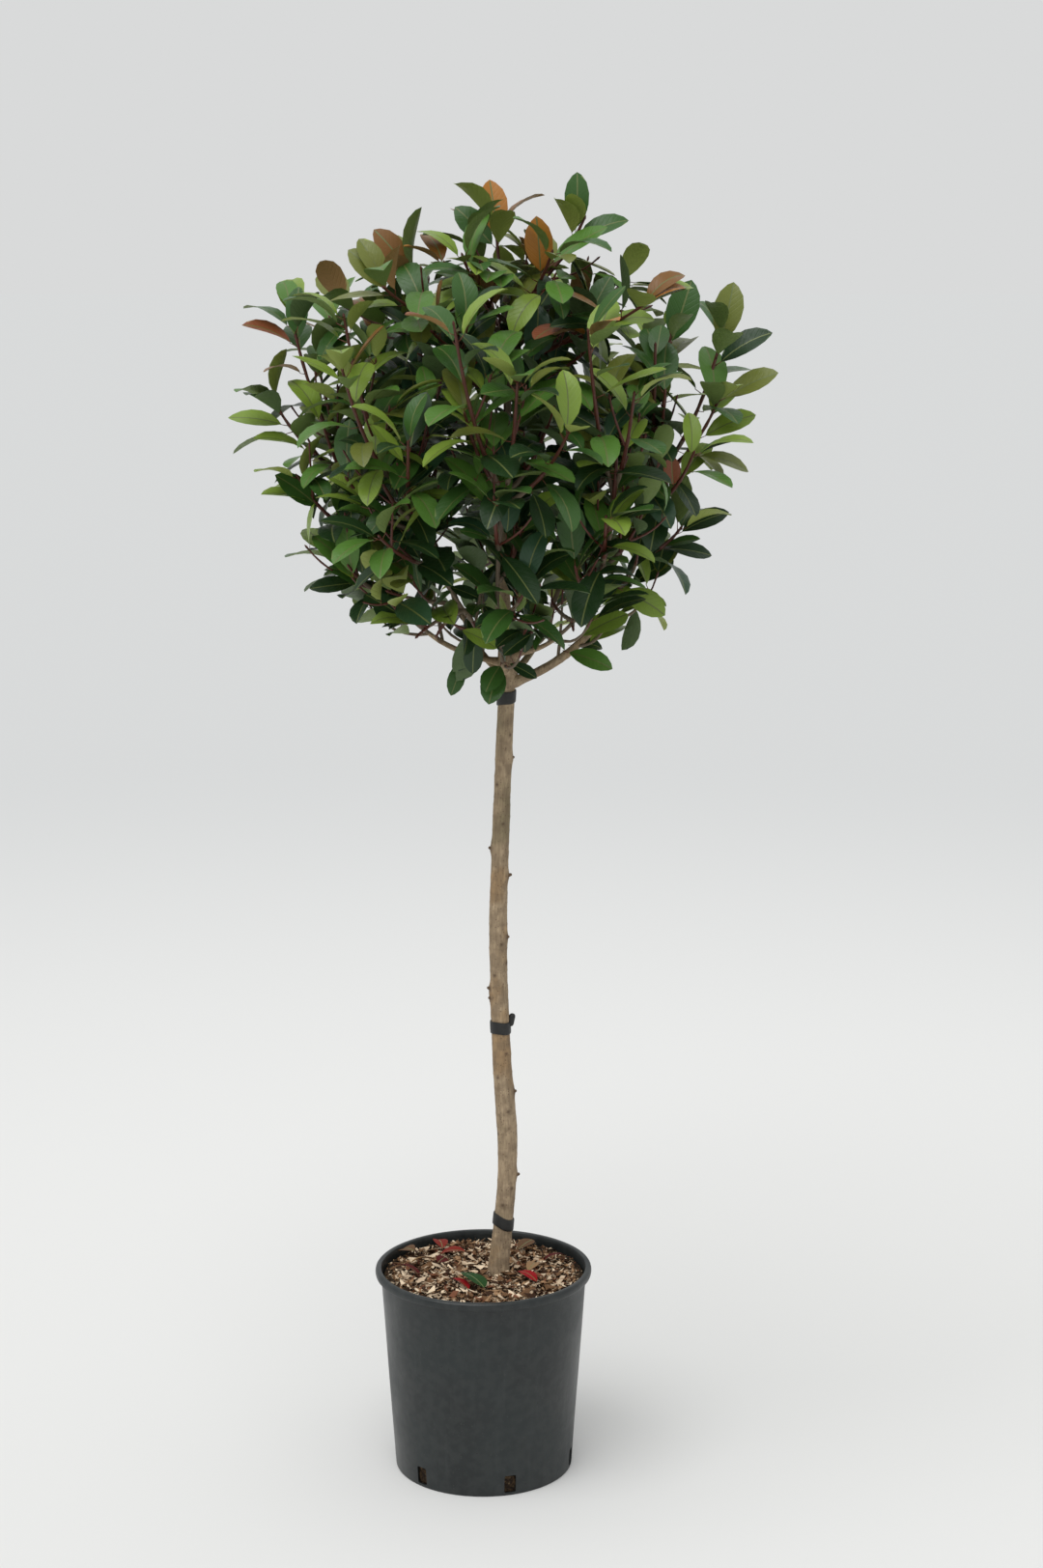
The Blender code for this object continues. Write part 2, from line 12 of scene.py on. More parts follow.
import bmesh
import bpy
from mathutils import Matrix, Vector, noise
from mathutils.bvhtree import BVHTree

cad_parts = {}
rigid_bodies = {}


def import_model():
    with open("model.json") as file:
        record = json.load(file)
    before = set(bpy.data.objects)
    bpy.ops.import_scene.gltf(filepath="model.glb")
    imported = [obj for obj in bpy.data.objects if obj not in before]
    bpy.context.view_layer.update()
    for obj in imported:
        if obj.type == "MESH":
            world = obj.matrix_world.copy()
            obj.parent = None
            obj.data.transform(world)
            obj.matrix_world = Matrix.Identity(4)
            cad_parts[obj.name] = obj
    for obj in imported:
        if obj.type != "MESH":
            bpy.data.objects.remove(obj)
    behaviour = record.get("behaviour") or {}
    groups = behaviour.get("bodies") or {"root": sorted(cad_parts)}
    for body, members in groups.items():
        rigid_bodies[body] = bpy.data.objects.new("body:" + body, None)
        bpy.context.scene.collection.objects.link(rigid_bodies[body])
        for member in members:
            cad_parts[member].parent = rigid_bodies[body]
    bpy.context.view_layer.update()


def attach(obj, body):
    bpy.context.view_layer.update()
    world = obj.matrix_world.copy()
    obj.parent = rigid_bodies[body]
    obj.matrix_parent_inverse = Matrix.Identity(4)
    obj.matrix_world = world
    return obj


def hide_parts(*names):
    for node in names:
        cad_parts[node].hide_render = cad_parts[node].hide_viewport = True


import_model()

UP = Vector((0.0, 0.0, 1.0))
GOLDEN_ANGLE = math.radians(137.508)
SMOOTH_ANGLE = math.radians(40.0)
# Points nearer than this are one.
SAME_POINT = 1e-6

CAMERA_PLACE = (0.055, -3.830, 1.718)
CAMERA_TILT = math.radians(79.51)
CAMERA_LENS = 63.73
CAMERA_SENSOR = 36.0

FLOOR_SIZE = 400.0
FLOOR_NEAR = 1.0
FLOOR_FAR = 6.0
# The near colour is painted paler, a painted pool of light round the pot. Further out the floor dims to the
# far colour.
FLOOR_POOL_OF_LIGHT_COLOUR = (0.765, 0.765, 0.755)
FLOOR_FAR_COLOUR = (0.622, 0.628, 0.628)
WORLD_COLOUR = (0.694, 0.701, 0.701)
SUN_STRENGTH = 1.5
SUN_SPREAD = math.radians(50.0)
SUN_TURN = (math.radians(24.0), math.radians(-16.0), 0.0)

POT_HEIGHT = 0.300
POT_BASE_RADIUS = 0.1285
POT_WALL_SLOPE = 0.069
POT_WALL = 0.0024
POT_FLOOR = 0.0035
RIM_RADIUS = 0.1565
RIM_HEIGHT = 0.0115
POT_STEPS = 144
# How far the wall sways in and out, from which height up, and what lies further in stays even.
WALL_SWAY = 0.0007
WALL_SWAY_FINENESS = (9.0, 9.0, 7.0)
WALL_SWAY_FROM = 0.01
WALL_INNERMOST = 0.1
DRAIN_COUNT = 6
DRAIN_WIDTH = 0.017
DRAIN_HEIGHT = 0.026
DRAIN_BOTTOM = 0.0045
DRAIN_ROUND = 0.0022
DRAIN_CUT_DEPTH = 0.018
DRAIN_FIRST_AZIMUTH = math.radians(17.5)

SOIL_EDGE = 0.2855
SOIL_TOP = 0.2865
SOIL_RADIUS = 0.1445
SOIL_TURNS = 96
SOIL_RINGS = 30
SOIL_ROUGH = 0.0022
# How fine the crumbs are, their roughness, the step between their sizes and how many sizes there are.
CRUMB_FINENESS = 90.0
CRUMB_SHAPE = (0.7, 2.0, 4)
# How far the compost stays off the pot's wall, and at which heights it follows it.
SOIL_GAP = 0.0015
SOIL_WALL_HEIGHTS = (0.20, 0.10, POT_FLOOR + 0.0005)

CHIP_FORMS = 12
# Each form is the hull of so many corners in a box with this length, width as a share of it and
# thickness. Its ends bow up, and it narrows towards them.
CHIP_CORNERS = 9
CHIP_LENGTHS = (0.009, 0.021)
CHIP_WIDTH_SHARES = (0.20, 0.75)
CHIP_THICKNESSES = (0.0006, 0.0018)
CHIP_BOW = 0.25
CHIP_PINCH = 1.2
CHIP_SEED = 900
STREWN_SEED = 11
# Each layer of chips: radius, chips per square metre, smallest and largest scale, steepest lean, and its
# lowest and highest place over the soil.
CHIP_LAYERS = (
    (0.1325, 24000.0, 0.50, 1.05, 0.40, -0.0005, 0.0015),
    (0.1425, 40000.0, 0.22, 0.50, 0.80, 0.0000, 0.0045),
    (0.1320, 18000.0, 0.48, 1.00, 0.75, 0.0010, 0.0060),
    (0.1260, 7500.0, 0.75, 1.25, 0.50, 0.0040, 0.0080),
)

# Fallen leaves: the middle's place, height over the soil, turn in degrees, length and tint.
FALLEN_LEAVES = (
    (-0.065, 0.096, 0.011, 100.0, 0.046, "fallen_red"),
    (-0.046, 0.055, 0.012, 160.0, 0.046, "fallen_red"),
    (-0.062, 0.030, 0.010, 70.0, 0.034, "fallen_dark_red"),
    (-0.108, -0.017, 0.011, -25.0, 0.048, "fallen_dark_red"),
    (-0.034, -0.067, 0.011, -50.0, 0.044, "fallen_bright_red"),
    (-0.016, -0.062, 0.016, -50.0, 0.056, "fallen_green"),
    (0.062, -0.036, 0.011, -40.0, 0.040, "fallen_bright_red"),
    (0.070, 0.002, 0.010, 70.0, 0.040, "fallen_tan"),
    (-0.112, 0.060, 0.014, 125.0, 0.046, "fallen_brown"),
    (-0.090, 0.028, 0.010, 10.0, 0.038, "fallen_tan"),
    (0.060, 0.095, 0.010, 60.0, 0.044, "fallen_brown"),
    (0.105, 0.040, 0.010, 200.0, 0.040, "fallen_dark_red"),
)

TRUNK_FOOT = 0.2843
TRUNK_TOP = 1.216
TRUNK_SUNK = 0.012
# How far right the trunk's centre line is at each height.
TRUNK_BENDS = (
    (TRUNK_FOOT, 0.021), (0.46, 0.035), (0.62, 0.0265), (0.80, 0.022), (1.02, 0.029), (TRUNK_TOP, 0.038),
)
TRUNK_FOOT_RADIUS = 0.0140
TRUNK_HEAD_RADIUS = 0.0113
TRUNK_FLARE = 0.0035
TRUNK_FLARE_HEIGHT = 0.018
TRUNK_SWELL = 0.0009
TRUNK_SWELL_HEIGHT = 0.53
TRUNK_SWELL_SPREAD = 0.070
HEAD_SWELL = 0.0034
HEAD_HEIGHT = 1.192
HEAD_SPREAD = 0.020
TRUNK_STEPS = 80
TRUNK_SIDES = 44
TRUNK_RINGS = 400
# The stubs and scars of cut side shoots: azimuth in degrees, height, and how far they stand out.
STUBS = (
    (-80.0, 0.917, 0.0034), (80.0, 0.878, 0.0046), (-75.0, 0.714, 0.0036), (-70.0, 0.700, 0.0026),
    (78.0, 0.562, 0.0030), (85.0, 0.437, 0.0034), (70.0, 0.789, 0.0030), (115.0, 1.045, 0.0034),
)
SCARS = (
    (20.0, 0.780), (-25.0, 0.735), (60.0, 0.752), (30.0, 0.620), (-30.0, 0.585), (15.0, 0.535),
    (-60.0, 0.500), (35.0, 0.420), (-15.0, 0.395), (150.0, 0.860), (-150.0, 0.700), (170.0, 0.560),
    (-130.0, 0.440), (120.0, 1.000), (-40.0, 1.010), (40.0, 1.080), (-160.0, 1.110), (12.0, 0.954),
)
STUB_RADIUS = 0.0030
STUB_SIDES = 12
STUB_RISE = 0.35
STUB_SUNK = 0.004
STUB_TAPER = (1.0, 0.85, 0.72)
COLLAR_RADIUS = 0.0085
COLLAR_HEIGHT = 0.0019
SCAR_RADIUS = 0.0044
SCAR_HEIGHT = 0.0009
# The knobs on the pruned head: how many, from which height up, their radii and how far they stand out.
HEAD_KNOBS = 10
HEAD_KNOBS_FROM = 1.165
HEAD_KNOB_RADII = (0.005, 0.009)
HEAD_KNOB_HEIGHTS = (0.001, 0.0024)
# A rounded end: how far it rises and how wide it is, as shares of the last radius.
DOME = ((0.35, 0.86), (0.60, 0.62), (0.72, 0.30), (0.76, 0.06))

# The bark's relief: how fine each kind is, and how high it stands on wood of full size.
FISSURE_FINENESS = (260, 260, 34)
FISSURE_SHAPE = (0.8, 2.0, 3)
LUMP_FINENESS = 75.0
WAVE_FINENESS = 22.0
FISSURE_RISE = 0.00034
LUMP_RISE = 0.00045
WAVE_RISE = 0.00055
FULL_RELIEF_RADIUS = 0.012
# The rings that old buds leave: their distances along the limb, width, sway and height.
RING_GAPS = (0.010, 0.034)
RING_WIDTH = 0.0013
RING_SWAY = 0.0006
RING_FINENESS = 160.0
RING_RISE = 0.00030
# How much a tie calms the bark, how far up and down, and the relief that stays.
TIE_CALM = 0.85
TIE_CALM_WIDTH = 0.014
LEAST_RELIEF = 0.1
# Seeds of the trunk, its head, the first bough and the leader.
TRUNK_SEED = 1
HEAD_SEED = 5
BOUGH_SEED = 20
LEADER_SEED = 40
SEED_SHIFT = Vector((7.3, 1.9, 4.1))
# How much each kind counts for the bark's shade.
FISSURE_SHADE = 0.6
LUMP_SHADE = 0.2
RING_SHADE = 0.25
# A mark's dark core as a share of its radius, and how stubs are coloured.
MARK_CORE = 0.55
STUB_RELIEF = 0.35
STUB_SCAR = 0.75

TIE_HEIGHT = 0.0175
TIE_THICKNESS = 0.0022
TIE_SUNK = 0.0002
TIE_TURNS = 72
TIE_SECTION_SIDES = 16
# How square the tie's section is, across and along its height.
TIE_SQUARENESS = (0.55, 0.35)
TIE_SWAY = 0.0006
TIE_WAVES = 3
TIE_WAVE_SHIFT = 40
# Each tie: name, height, and how steeply it rises towards the right.
TIES = (("tie_lower", 0.367, -0.42), ("tie_middle", 0.657, -0.05), ("tie_upper", 1.132, 0.16))
KNOT_SIZE = (0.0095, 0.0085, 0.0190)
KNOT_LIFT = 0.0100
KNOT_SUNK = 0.0044
KNOT_TILT = math.radians(12.0)
KNOT_ROUND = 0.0040
KNOT_LUMPS = 0.0007
KNOT_LUMP_FINENESS = 150.0
KNOT_SEED = 3

LIMB_TIP_SHARE = 0.62
LIMB_CURVE_REACH = 0.62
LIMB_CURVE_RISE = 0.22
LIMB_SIDES = 18
LIMB_RINGS = 56
LIMB_CLEARANCE = 0.0015
BOUGH_COLLAR = 0.35
LEADER_COLLAR = 0.25
COLLAR_SPREAD = 0.009
# One bump for so many rings of a bough, its radius and height.
LIMB_MARK_EVERY = 9
LIMB_MARK_RADIUS = 0.0032
LIMB_MARK_HEIGHT = 0.0009
# Limbs as the leaves see them.
ROUGH_TRUNK_STEPS = 40
ROUGH_TRUNK_SIDES = 12
ROUGH_STEPS = 8
ROUGH_SIDES = 7
# Each bough: azimuth in degrees, height where it leaves the trunk, root radius, reach and height of its tip.
BOUGHS = {
    "front": (-8.0, 1.168, 0.0045, 0.046, 1.188),
    "front_right": (48.0, 1.192, 0.0042, 0.095, 1.228),
    "right": (90.0, 1.151, 0.0070, 0.150, 1.270),
    "back_right": (136.0, 1.162, 0.0055, 0.090, 1.250),
    "back": (182.0, 1.186, 0.0060, 0.085, 1.262),
    "back_left": (226.0, 1.161, 0.0052, 0.088, 1.240),
    "left": (270.0, 1.180, 0.0050, 0.110, 1.222),
    "front_left": (314.0, 1.203, 0.0046, 0.066, 1.240),
}
LEADER_RADIUS = 0.0080
LEADER_TIP = (0.034, 0.004, 1.440)
LEADER_BEND = (-0.012, 0.004, 0.090)
LEADER_SUNK = 0.010

CROWN_CENTRE = Vector((0.035, 0.0, 1.470))
MASS_REACH = 0.200
MASS_HEIGHT = 1.440
TOP_MASS_HEIGHT = 1.680
# Leaves and twigs of neighbouring masses may reach this far into each other's space.
SPACE_SLACK = 0.012
KNEE_MARGIN = 0.006
KNEE_TRIES = 4
# How far the leaves reach from the crown's axis, at each height.
CROWN_PROFILE = (
    (1.120, 0.010), (1.170, 0.040), (1.195, 0.095), (1.220, 0.160), (1.255, 0.215), (1.300, 0.242),
    (1.360, 0.260), (1.420, 0.268), (1.500, 0.274), (1.580, 0.278), (1.640, 0.268), (1.690, 0.228),
    (1.730, 0.162), (1.770, 0.090), (1.810, 0.045), (1.850, 0.010),
)
PROFILE_CENTRE_X = 0.012
# How much further the leaves of the shoots that stand out, and of those that hang, may reach.
LEADING_REACH = 0.094
HANGING_REACH = 0.030
# How far within the profile the other shoots end, and how they are drawn in until they do.
TIP_MARGIN = 0.030
DRAW_IN = 0.95
DRAW_TRIES = 10
REACH_LOW = Vector((-0.350, -0.362, 1.120))
REACH_HIGH = Vector((0.408, 0.362, 1.850))
LEADING_TIPS = (
    (-0.260, 0.00, 1.663), (-0.177, -0.15, 1.657), (-0.125, -0.12, 1.694), (-0.023, -0.08, 1.736),
    (0.020, 0.03, 1.775), (0.095, -0.10, 1.740), (0.139, -0.02, 1.785), (0.217, -0.12, 1.674),
    (0.334, 0.00, 1.654), (0.321, -0.03, 1.542), (0.286, -0.08, 1.475), (0.275, 0.02, 1.365),
    (0.215, 0.00, 1.265), (-0.285, 0.02, 1.540), (-0.250, -0.03, 1.440), (-0.195, 0.00, 1.325),
    (-0.110, -0.02, 1.262), (-0.100, 0.00, 1.715), (-0.185, 0.02, 1.668), (0.200, 0.05, 1.705),
    (0.260, 0.02, 1.655), (0.050, -0.285, 1.580), (-0.090, -0.262, 1.500), (0.140, -0.245, 1.640),
    (0.030, 0.288, 1.560), (-0.100, 0.255, 1.630), (0.150, 0.250, 1.600), (0.050, 0.270, 1.440),
    (-0.030, -0.292, 1.650), (0.115, -0.278, 1.515), (0.200, -0.222, 1.560), (-0.175, -0.222, 1.590),
    (0.020, -0.268, 1.430), (0.165, -0.212, 1.400), (-0.130, -0.205, 1.375), (0.060, -0.200, 1.305),
    (-0.045, 0.292, 1.490), (0.095, 0.285, 1.670), (0.205, 0.215, 1.500), (-0.185, 0.212, 1.530),
    (-0.150, 0.190, 1.400), (0.150, 0.210, 1.385), (-0.010, 0.205, 1.320), (0.235, 0.170, 1.620),
    (-0.215, 0.140, 1.650),
)
HANGING_TIPS = {
    "front": ((0.054, -0.080, 1.268), (0.074, -0.098, 1.240), (-0.032, -0.110, 1.246)),
    "front_left": ((-0.008, -0.056, 1.236), (-0.085, -0.105, 1.232), (-0.060, -0.060, 1.228)),
    "front_right": ((0.125, -0.085, 1.240), (0.098, -0.070, 1.272), (0.150, -0.078, 1.276)),
    "right": ((0.186, -0.028, 1.290),),
    "back": ((0.020, 0.105, 1.252),),
    "left": ((-0.115, 0.020, 1.225),),
}
LEADING_PLACES = [Vector(tip) for tip in LEADING_TIPS]
HANGING_PLACES = [Vector(tip) for tips in HANGING_TIPS.values() for tip in tips]
SPREAD_REACH = Vector((0.300, 0.300, 0.285))
# Evenly spread layers of shoot tips: how many, their share of the reach, and their lowest angle from the top.
SPREADS = (
    (46, 1.0, math.radians(128.0)),
    (26, 0.60, math.radians(150.0)),
    (33, 0.84, math.radians(142.0)),
)
SPREAD_JITTER = 0.07
SHOOT_SPACING = 0.075
SHOOT_RADIUS = 0.0034
SHOOT_TIP_RADIUS = 0.0017
SHOOT_STEPS = 14
SHOOT_REACH_FIRST = 0.62
SHOOT_RISE_LATE = 0.25
STEM_SHARES = (0.12, 0.97)
STEM_OVER = 0.10
STEM_STEPS = 16
STEM_SUNK = 0.004
TWIG_SIDES = 7
NODE_SWELL = 1.22
YOUNG_FROM = 0.42
# Shoots that end under this height stay grey-brown for longer.
LOW_SHOOTS = 1.36
LOW_YOUNG_FROM = 0.75
BUD_LENGTH = 0.006
# A bud's rise and width, as shares of its length and of the shoot's last radius.
BUD_SHARES = ((0.25, 1.25), (0.60, 0.95), (1.0, 0.15))

# The finer twigs on each shoot: shares along it where they leave, their spread, and their lengths.
TWIG_SHARES = (0.36, 0.58, 0.78)
HIGH_TWIGS = 2
LOW_CROWN = 1.46
TWIG_ANGLE = math.radians(42.0)
TWIG_RISE = 0.30
TWIG_LENGTHS = (0.055, 0.110)
TWIG_SHAPE = (TWIG_ANGLE, TWIG_RISE, TWIG_LENGTHS)
TWIG_RADIUS = 0.0017
TWIG_TIP_RADIUS = 0.0011
TWIG_STEPS = 7
TWIG_REACH = 1.04
TWIG_SHARE_JITTER = 0.06
TWIG_KNEE = 0.6
# The twigs that rise from each bough below the shoots.
BOUGH_TWIG_SHARES = (0.40, 0.58, 0.76, 0.94)
BOUGH_TWIG_ANGLE = math.radians(48.0)
BOUGH_TWIG_RISE = 0.75
BOUGH_TWIG_LENGTHS = (0.065, 0.115)
BOUGH_TWIG_SHAPE = (BOUGH_TWIG_SHARES, BOUGH_TWIG_ANGLE, BOUGH_TWIG_RISE, BOUGH_TWIG_LENGTHS)
BOUGH_TWIG_RADIUS = 0.0022
TRUNK_CLEARANCE = 0.032

LEAF_LENGTH = 0.080
LEAF_SIZES = (0.80, 1.14)
LEAF_SPACING = 0.0215
LEAF_START = 0.20
LEAF_SAG = 0.18
LEAF_FACING_UP = 0.60
LEAF_ANGLE_LOW = math.radians(76.0)
LEAF_ANGLE_TIP = math.radians(42.0)
TIP_LEAVES = 3
TIP_LEAF_STEP = 0.030
LEAF_TRIES = 9
LEAF_SWING = 0.42
LEAF_SHRINK = 0.90
LEAF_CELL = 0.10
PETIOLE = 0.15
PETIOLE_RADIUS = 0.011
LEAF_THICKNESS = 0.010
LEAF_CUP = 0.55
LEAF_RIB = 0.050
LEAF_GROOVE = 0.004
# The fold is strongest at the midrib and eases by this much towards the edge.
LEAF_FOLD_EASE = 0.45
LEAF_RIB_SHARE = 0.4
LEAF_LINE_STEPS = 12
# Where along its length a leaf is level, and where it is neither bent aside nor twisted.
LEAF_LEVEL_AT = 0.42
LEAF_STRAIGHT_AT = 0.3
LEAF_UNTWISTED_AT = 0.4
# What stands in for a leaf: where its corners are, their share of the width and of the fold.
STAND_IN_AT = (0.35, 0.75)
STAND_IN_WIDTH = 0.9
STAND_IN_FOLD = 0.6
# How wide a side vein is, as a share of the way to the next.
VEIN_WIDTH = 0.16
# The stalk's two ends below the blade's line, and how far it runs on under the blade.
STALK_DROPS = (-0.012, -0.006)
STALK_OVERLAP = 1.15
# Half widths of the blade, as shares of its widest, along its length.
LEAF_OUTLINE = ((0.09, 0.34), (0.25, 0.75), (0.43, 0.97), (0.61, 1.00), (0.79, 0.80), (0.93, 0.38))
# Each form: how far it arches over, its fold, sideways bend, twist and half width.
LEAF_FORMS = (
    (0.75, 0.24, 0.10, 0.10, 0.238),
    (1.10, 0.34, -0.14, -0.16, 0.228),
    (0.45, 0.16, 0.06, 0.22, 0.250),
    (1.40, 0.28, 0.18, 0.10, 0.226),
    (0.85, 0.42, -0.08, -0.25, 0.218),
    (0.30, 0.26, -0.18, 0.08, 0.240),
    (1.20, 0.14, 0.02, 0.30, 0.246),
    (0.65, 0.46, 0.20, -0.10, 0.222),
    (0.70, 0.16, 0.04, 0.06, 0.300),
)
# The last form, a broad one, is kept for the leaves given one by one.
COMMON_FORMS = 8
BROAD_FORM = 8
# Leaves that hang at the fork, stand out in front and behind or fill gaps: their mass, foot, tip, tint
# and form.
FIXED_LEAVES = (
    ("left", (-0.026, -0.004, 1.191), (-0.043, -0.020, 1.137), "green", 5),
    ("front", (0.0275, -0.047, 1.188), (0.010, -0.080, 1.134), "green", BROAD_FORM),
    ("front", (0.0285, -0.048, 1.188), (0.006, -0.088, 1.152), "green", BROAD_FORM),
    ("front", (0.033, -0.046, 1.188), (0.076, -0.052, 1.166), "deep", 5),
    ("right", (0.112, -0.007, 1.199), (0.181, -0.024, 1.175), "bright", 0),
    ("right", (0.120, 0.004, 1.205), (0.168, 0.016, 1.198), "deep", 1),
    ("front", (0.054, -0.080, 1.266), (0.060, -0.078, 1.205), "deep", 5),
    ("front", (0.074, -0.098, 1.238), (0.030, -0.104, 1.205), "deep", 2),
    ("front", (-0.032, -0.110, 1.244), (0.022, -0.116, 1.216), "fresh", 0),
    ("front_left", (-0.008, -0.056, 1.234), (-0.012, -0.050, 1.172), "deep", 2),
    ("right", (0.186, -0.028, 1.289), (0.252, -0.044, 1.252), "fresh", BROAD_FORM),
    ("front", (0.050, -0.283, 1.577), (0.066, -0.354, 1.590), "bright", 0),
    ("front", (0.050, -0.280, 1.570), (0.004, -0.340, 1.566), "green", 5),
    ("back", (0.030, 0.286, 1.557), (0.020, 0.358, 1.566), "green", 0),
    ("back", (0.092, 0.139, 1.520), (0.158, 0.124, 1.532), "deep", 2),
    ("front", (0.097, -0.169, 1.542), (0.152, -0.192, 1.516), "deep", 5),
    ("back", (0.013, 0.097, 1.329), (-0.020, 0.088, 1.374), "deep", 2),
    ("front", (0.016, -0.205, 1.371), (-0.026, -0.216, 1.384), "green", 0),
    ("front_left", (-0.047, -0.078, 1.297), (-0.004, -0.088, 1.282), "deep", 2),
)
# How far the upper side of those leaves turns to the front.
FIXED_TURN = 1.1
# The forms that arch little.
LEVEL_FORMS = (0, 2, 4, 5, 7)
# Leaf tips that stand out in the photo's outline: how far right, height and tint.
LEADING_LEAVES = (
    (-0.247, 1.696, "green"), (-0.326, 1.644, "rust"), (-0.347, 1.519, "fresh"), (-0.313, 1.490, "fresh"),
    (-0.284, 1.441, "green"), (-0.304, 1.414, "fresh"), (-0.239, 1.284, "deep"), (-0.139, 1.230, "deep"),
    (0.130, 1.848, "green"), (0.012, 1.838, "orange"), (0.406, 1.580, "olive"), (0.376, 1.523, "fresh"),
    (0.367, 1.445, "olive"), (0.341, 1.390, "deep"), (0.318, 1.330, "deep"), (0.302, 1.353, "green"),
    (0.256, 1.259, "fresh"), (0.397, 1.634, "deep"), (0.343, 1.702, "olive"), (0.286, 1.705, "green"),
    (0.200, 1.784, "green"),
    (-0.145, 1.772, "bronze"), (-0.180, 1.745, "olive"), (0.262, 1.468, "rust"), (0.075, 1.790, "orange"),
    (-0.035, 1.802, "green"),
)
# Which of those, counted from 0, show mostly their edge.
EDGE_ON_LEAVES = (1, 3, 5)
EDGE_ON_TURN = -0.35
# How far those leaves' places vary in depth, and how far their upper sides lean right and to the front.
LEADING_SEED = 77
LEADING_DEPTH = 0.02
LEADING_ASIDE = 0.3
LEADING_FRONT = (-1.1, -0.1)
LEADING_RISEN_FRONT = 1.6

# Each leaf tint: the colour of the upper side, and which underside goes with it.
TINTS = {
    "deep": ((0.014, 0.042, 0.011), "grey"),
    "green": ((0.038, 0.105, 0.018), "pale"),
    "bright": ((0.080, 0.185, 0.028), "pale"),
    "blue_green": ((0.024, 0.070, 0.030), "grey"),
    "fresh": ((0.200, 0.300, 0.040), "yellow"),
    "olive": ((0.150, 0.175, 0.030), "yellow"),
    "bronze": ((0.190, 0.084, 0.015), "tan"),
    "orange": ((0.400, 0.160, 0.022), "tan"),
    "rust": ((0.220, 0.066, 0.026), "tan"),
    "fallen_red": ((0.200, 0.024, 0.016), "red"),
    "fallen_dark_red": ((0.085, 0.010, 0.009), "red"),
    "fallen_bright_red": ((0.280, 0.008, 0.012), "red"),
    "fallen_brown": ((0.130, 0.070, 0.036), "tan"),
    "fallen_tan": ((0.300, 0.180, 0.090), "tan"),
    "fallen_green": ((0.020, 0.062, 0.016), "grey"),
}
TINT_NAMES = list(TINTS)
UNDERSIDES = {
    "pale": (0.150, 0.215, 0.058),
    "grey": (0.085, 0.135, 0.050),
    "yellow": (0.290, 0.350, 0.080),
    "tan": (0.340, 0.190, 0.075),
    "red": (0.170, 0.030, 0.022),
}
# What a leaf's tint is drawn from, by where it is. The darker inner tints are partly the older leaves' own
# colour and partly painted shade low and deep in the crown. The brighter high and outer tints are painted
# light.
TINT_MIXES = {
    "bronze": ("bronze", "orange", "bronze", "rust", "olive"),
    "fresh": ("fresh", "olive", "fresh"),
    "inner": ("deep", "deep", "green", "deep", "blue_green"),
    "high": ("green", "bright", "olive", "bright", "fresh"),
    "outer": ("green", "bright", "bright", "green", "fresh", "deep", "bright"),
    "common": ("deep", "green", "bright", "green", "blue_green", "deep", "green"),
}
# Bronze leaves start at this share of a shoot, the freshest at the next, and older ones end at the last.
BRONZE_SHARE = 0.70
TIP_SHARE = 0.85
OLD_SHARE = 0.45
TIP_FRESHNESS = 1.5
BRONZE_LOW_CHANCE = 0.3
# Where leaves get darker tints as painted shade, low and near the crown's middle, and brighter tints as
# painted light, high and far out.
SHADE_PAINTED_BELOW = 1.28
SHADE_PAINTED_WITHIN = 0.20
LIGHT_PAINTED_ABOVE = 1.66
LIGHT_PAINTED_BEYOND = 0.21
# How likely a spray is fresh or bronzed. Both grow with height and reach, over a span. The fresh yellow-green
# far out is partly young growth and partly a painted glow of light through the leaves.
FRESH_CHANCES = (0.06, 0.14, 0.24, 0.42)
BRONZE_CHANCES = (0.04, 0.12, 0.30, 0.60)
YOUNG_HEIGHT = 1.58
YOUNG_HEIGHT_SPAN = 0.12
YOUNG_REACH = 0.2
YOUNG_REACH_SPAN = 0.10
INNER_FRESHNESS = 0.35
OUTER_FRESHNESS_AND_GLOW = 0.65

# How fallen leaves tilt, and where their middle is as a share of their length.
FALLEN_SEED = 300
FALLEN_TILTS = ((-0.35, 0.35), (-0.15, 0.25))
FALLEN_MIDDLE = 0.6

RIB_COLOUR = (0.130, 0.160, 0.045)
PETIOLE_COLOUR = (0.140, 0.040, 0.018)
# What each face of a leaf is.
BLADE, UNDERSIDE, RIB, STALK = range(4)


def put(tree, kind, settings=None, inputs=None):
    """Add a node to a tree. Each input is a plain value, or another node's output to link."""
    node = tree.nodes.new(kind)
    for name, value in (settings or {}).items():
        setattr(node, name, value)
    for name, value in (inputs or {}).items():
        if isinstance(value, bpy.types.NodeSocket):
            tree.links.new(value, node.inputs[name])
        else:
            node.inputs[name].default_value = value
    return node


def named_group(name, kind, inputs, outputs, fill):
    """A node group with named sockets. fill(tree, inputs) returns the output sockets by name."""
    tree = bpy.data.node_groups.new(name, kind)
    for label, sort, value in inputs:
        socket = tree.interface.new_socket(name=label, in_out="INPUT", socket_type=sort)
        if value is not None:
            socket.default_value = value
    for label, sort in outputs:
        tree.interface.new_socket(name=label, in_out="OUTPUT", socket_type=sort)
    given = tree.nodes.new("NodeGroupInput").outputs
    leaving = tree.nodes.new("NodeGroupOutput")
    for label, socket in fill(tree, given).items():
        tree.links.new(socket, leaving.inputs[label])
    return tree


def maths(tree, operation, first, second=0.0):
    """One step of arithmetic."""
    return put(tree, "ShaderNodeMath", {"operation": operation}, {0: first, 1: second}).outputs[0]


def soft_step(tree, value, low, high):
    """0 up to low, 1 from high on, and a smooth change in between."""
    return put(tree, "ShaderNodeMapRange", {"interpolation_type": "SMOOTHSTEP"}, {
        "Value": value, "From Min": low, "From Max": high,
    }).outputs["Result"]


def fill_mottle(tree, given):
    pattern = put(tree, "ShaderNodeTexNoise", None, {
        "Vector": given["Vector"], "Scale": given["Scale"], "Detail": given["Detail"],
    })
    return {"Mask": soft_step(tree, pattern.outputs[0], given["Low"], given["High"])}


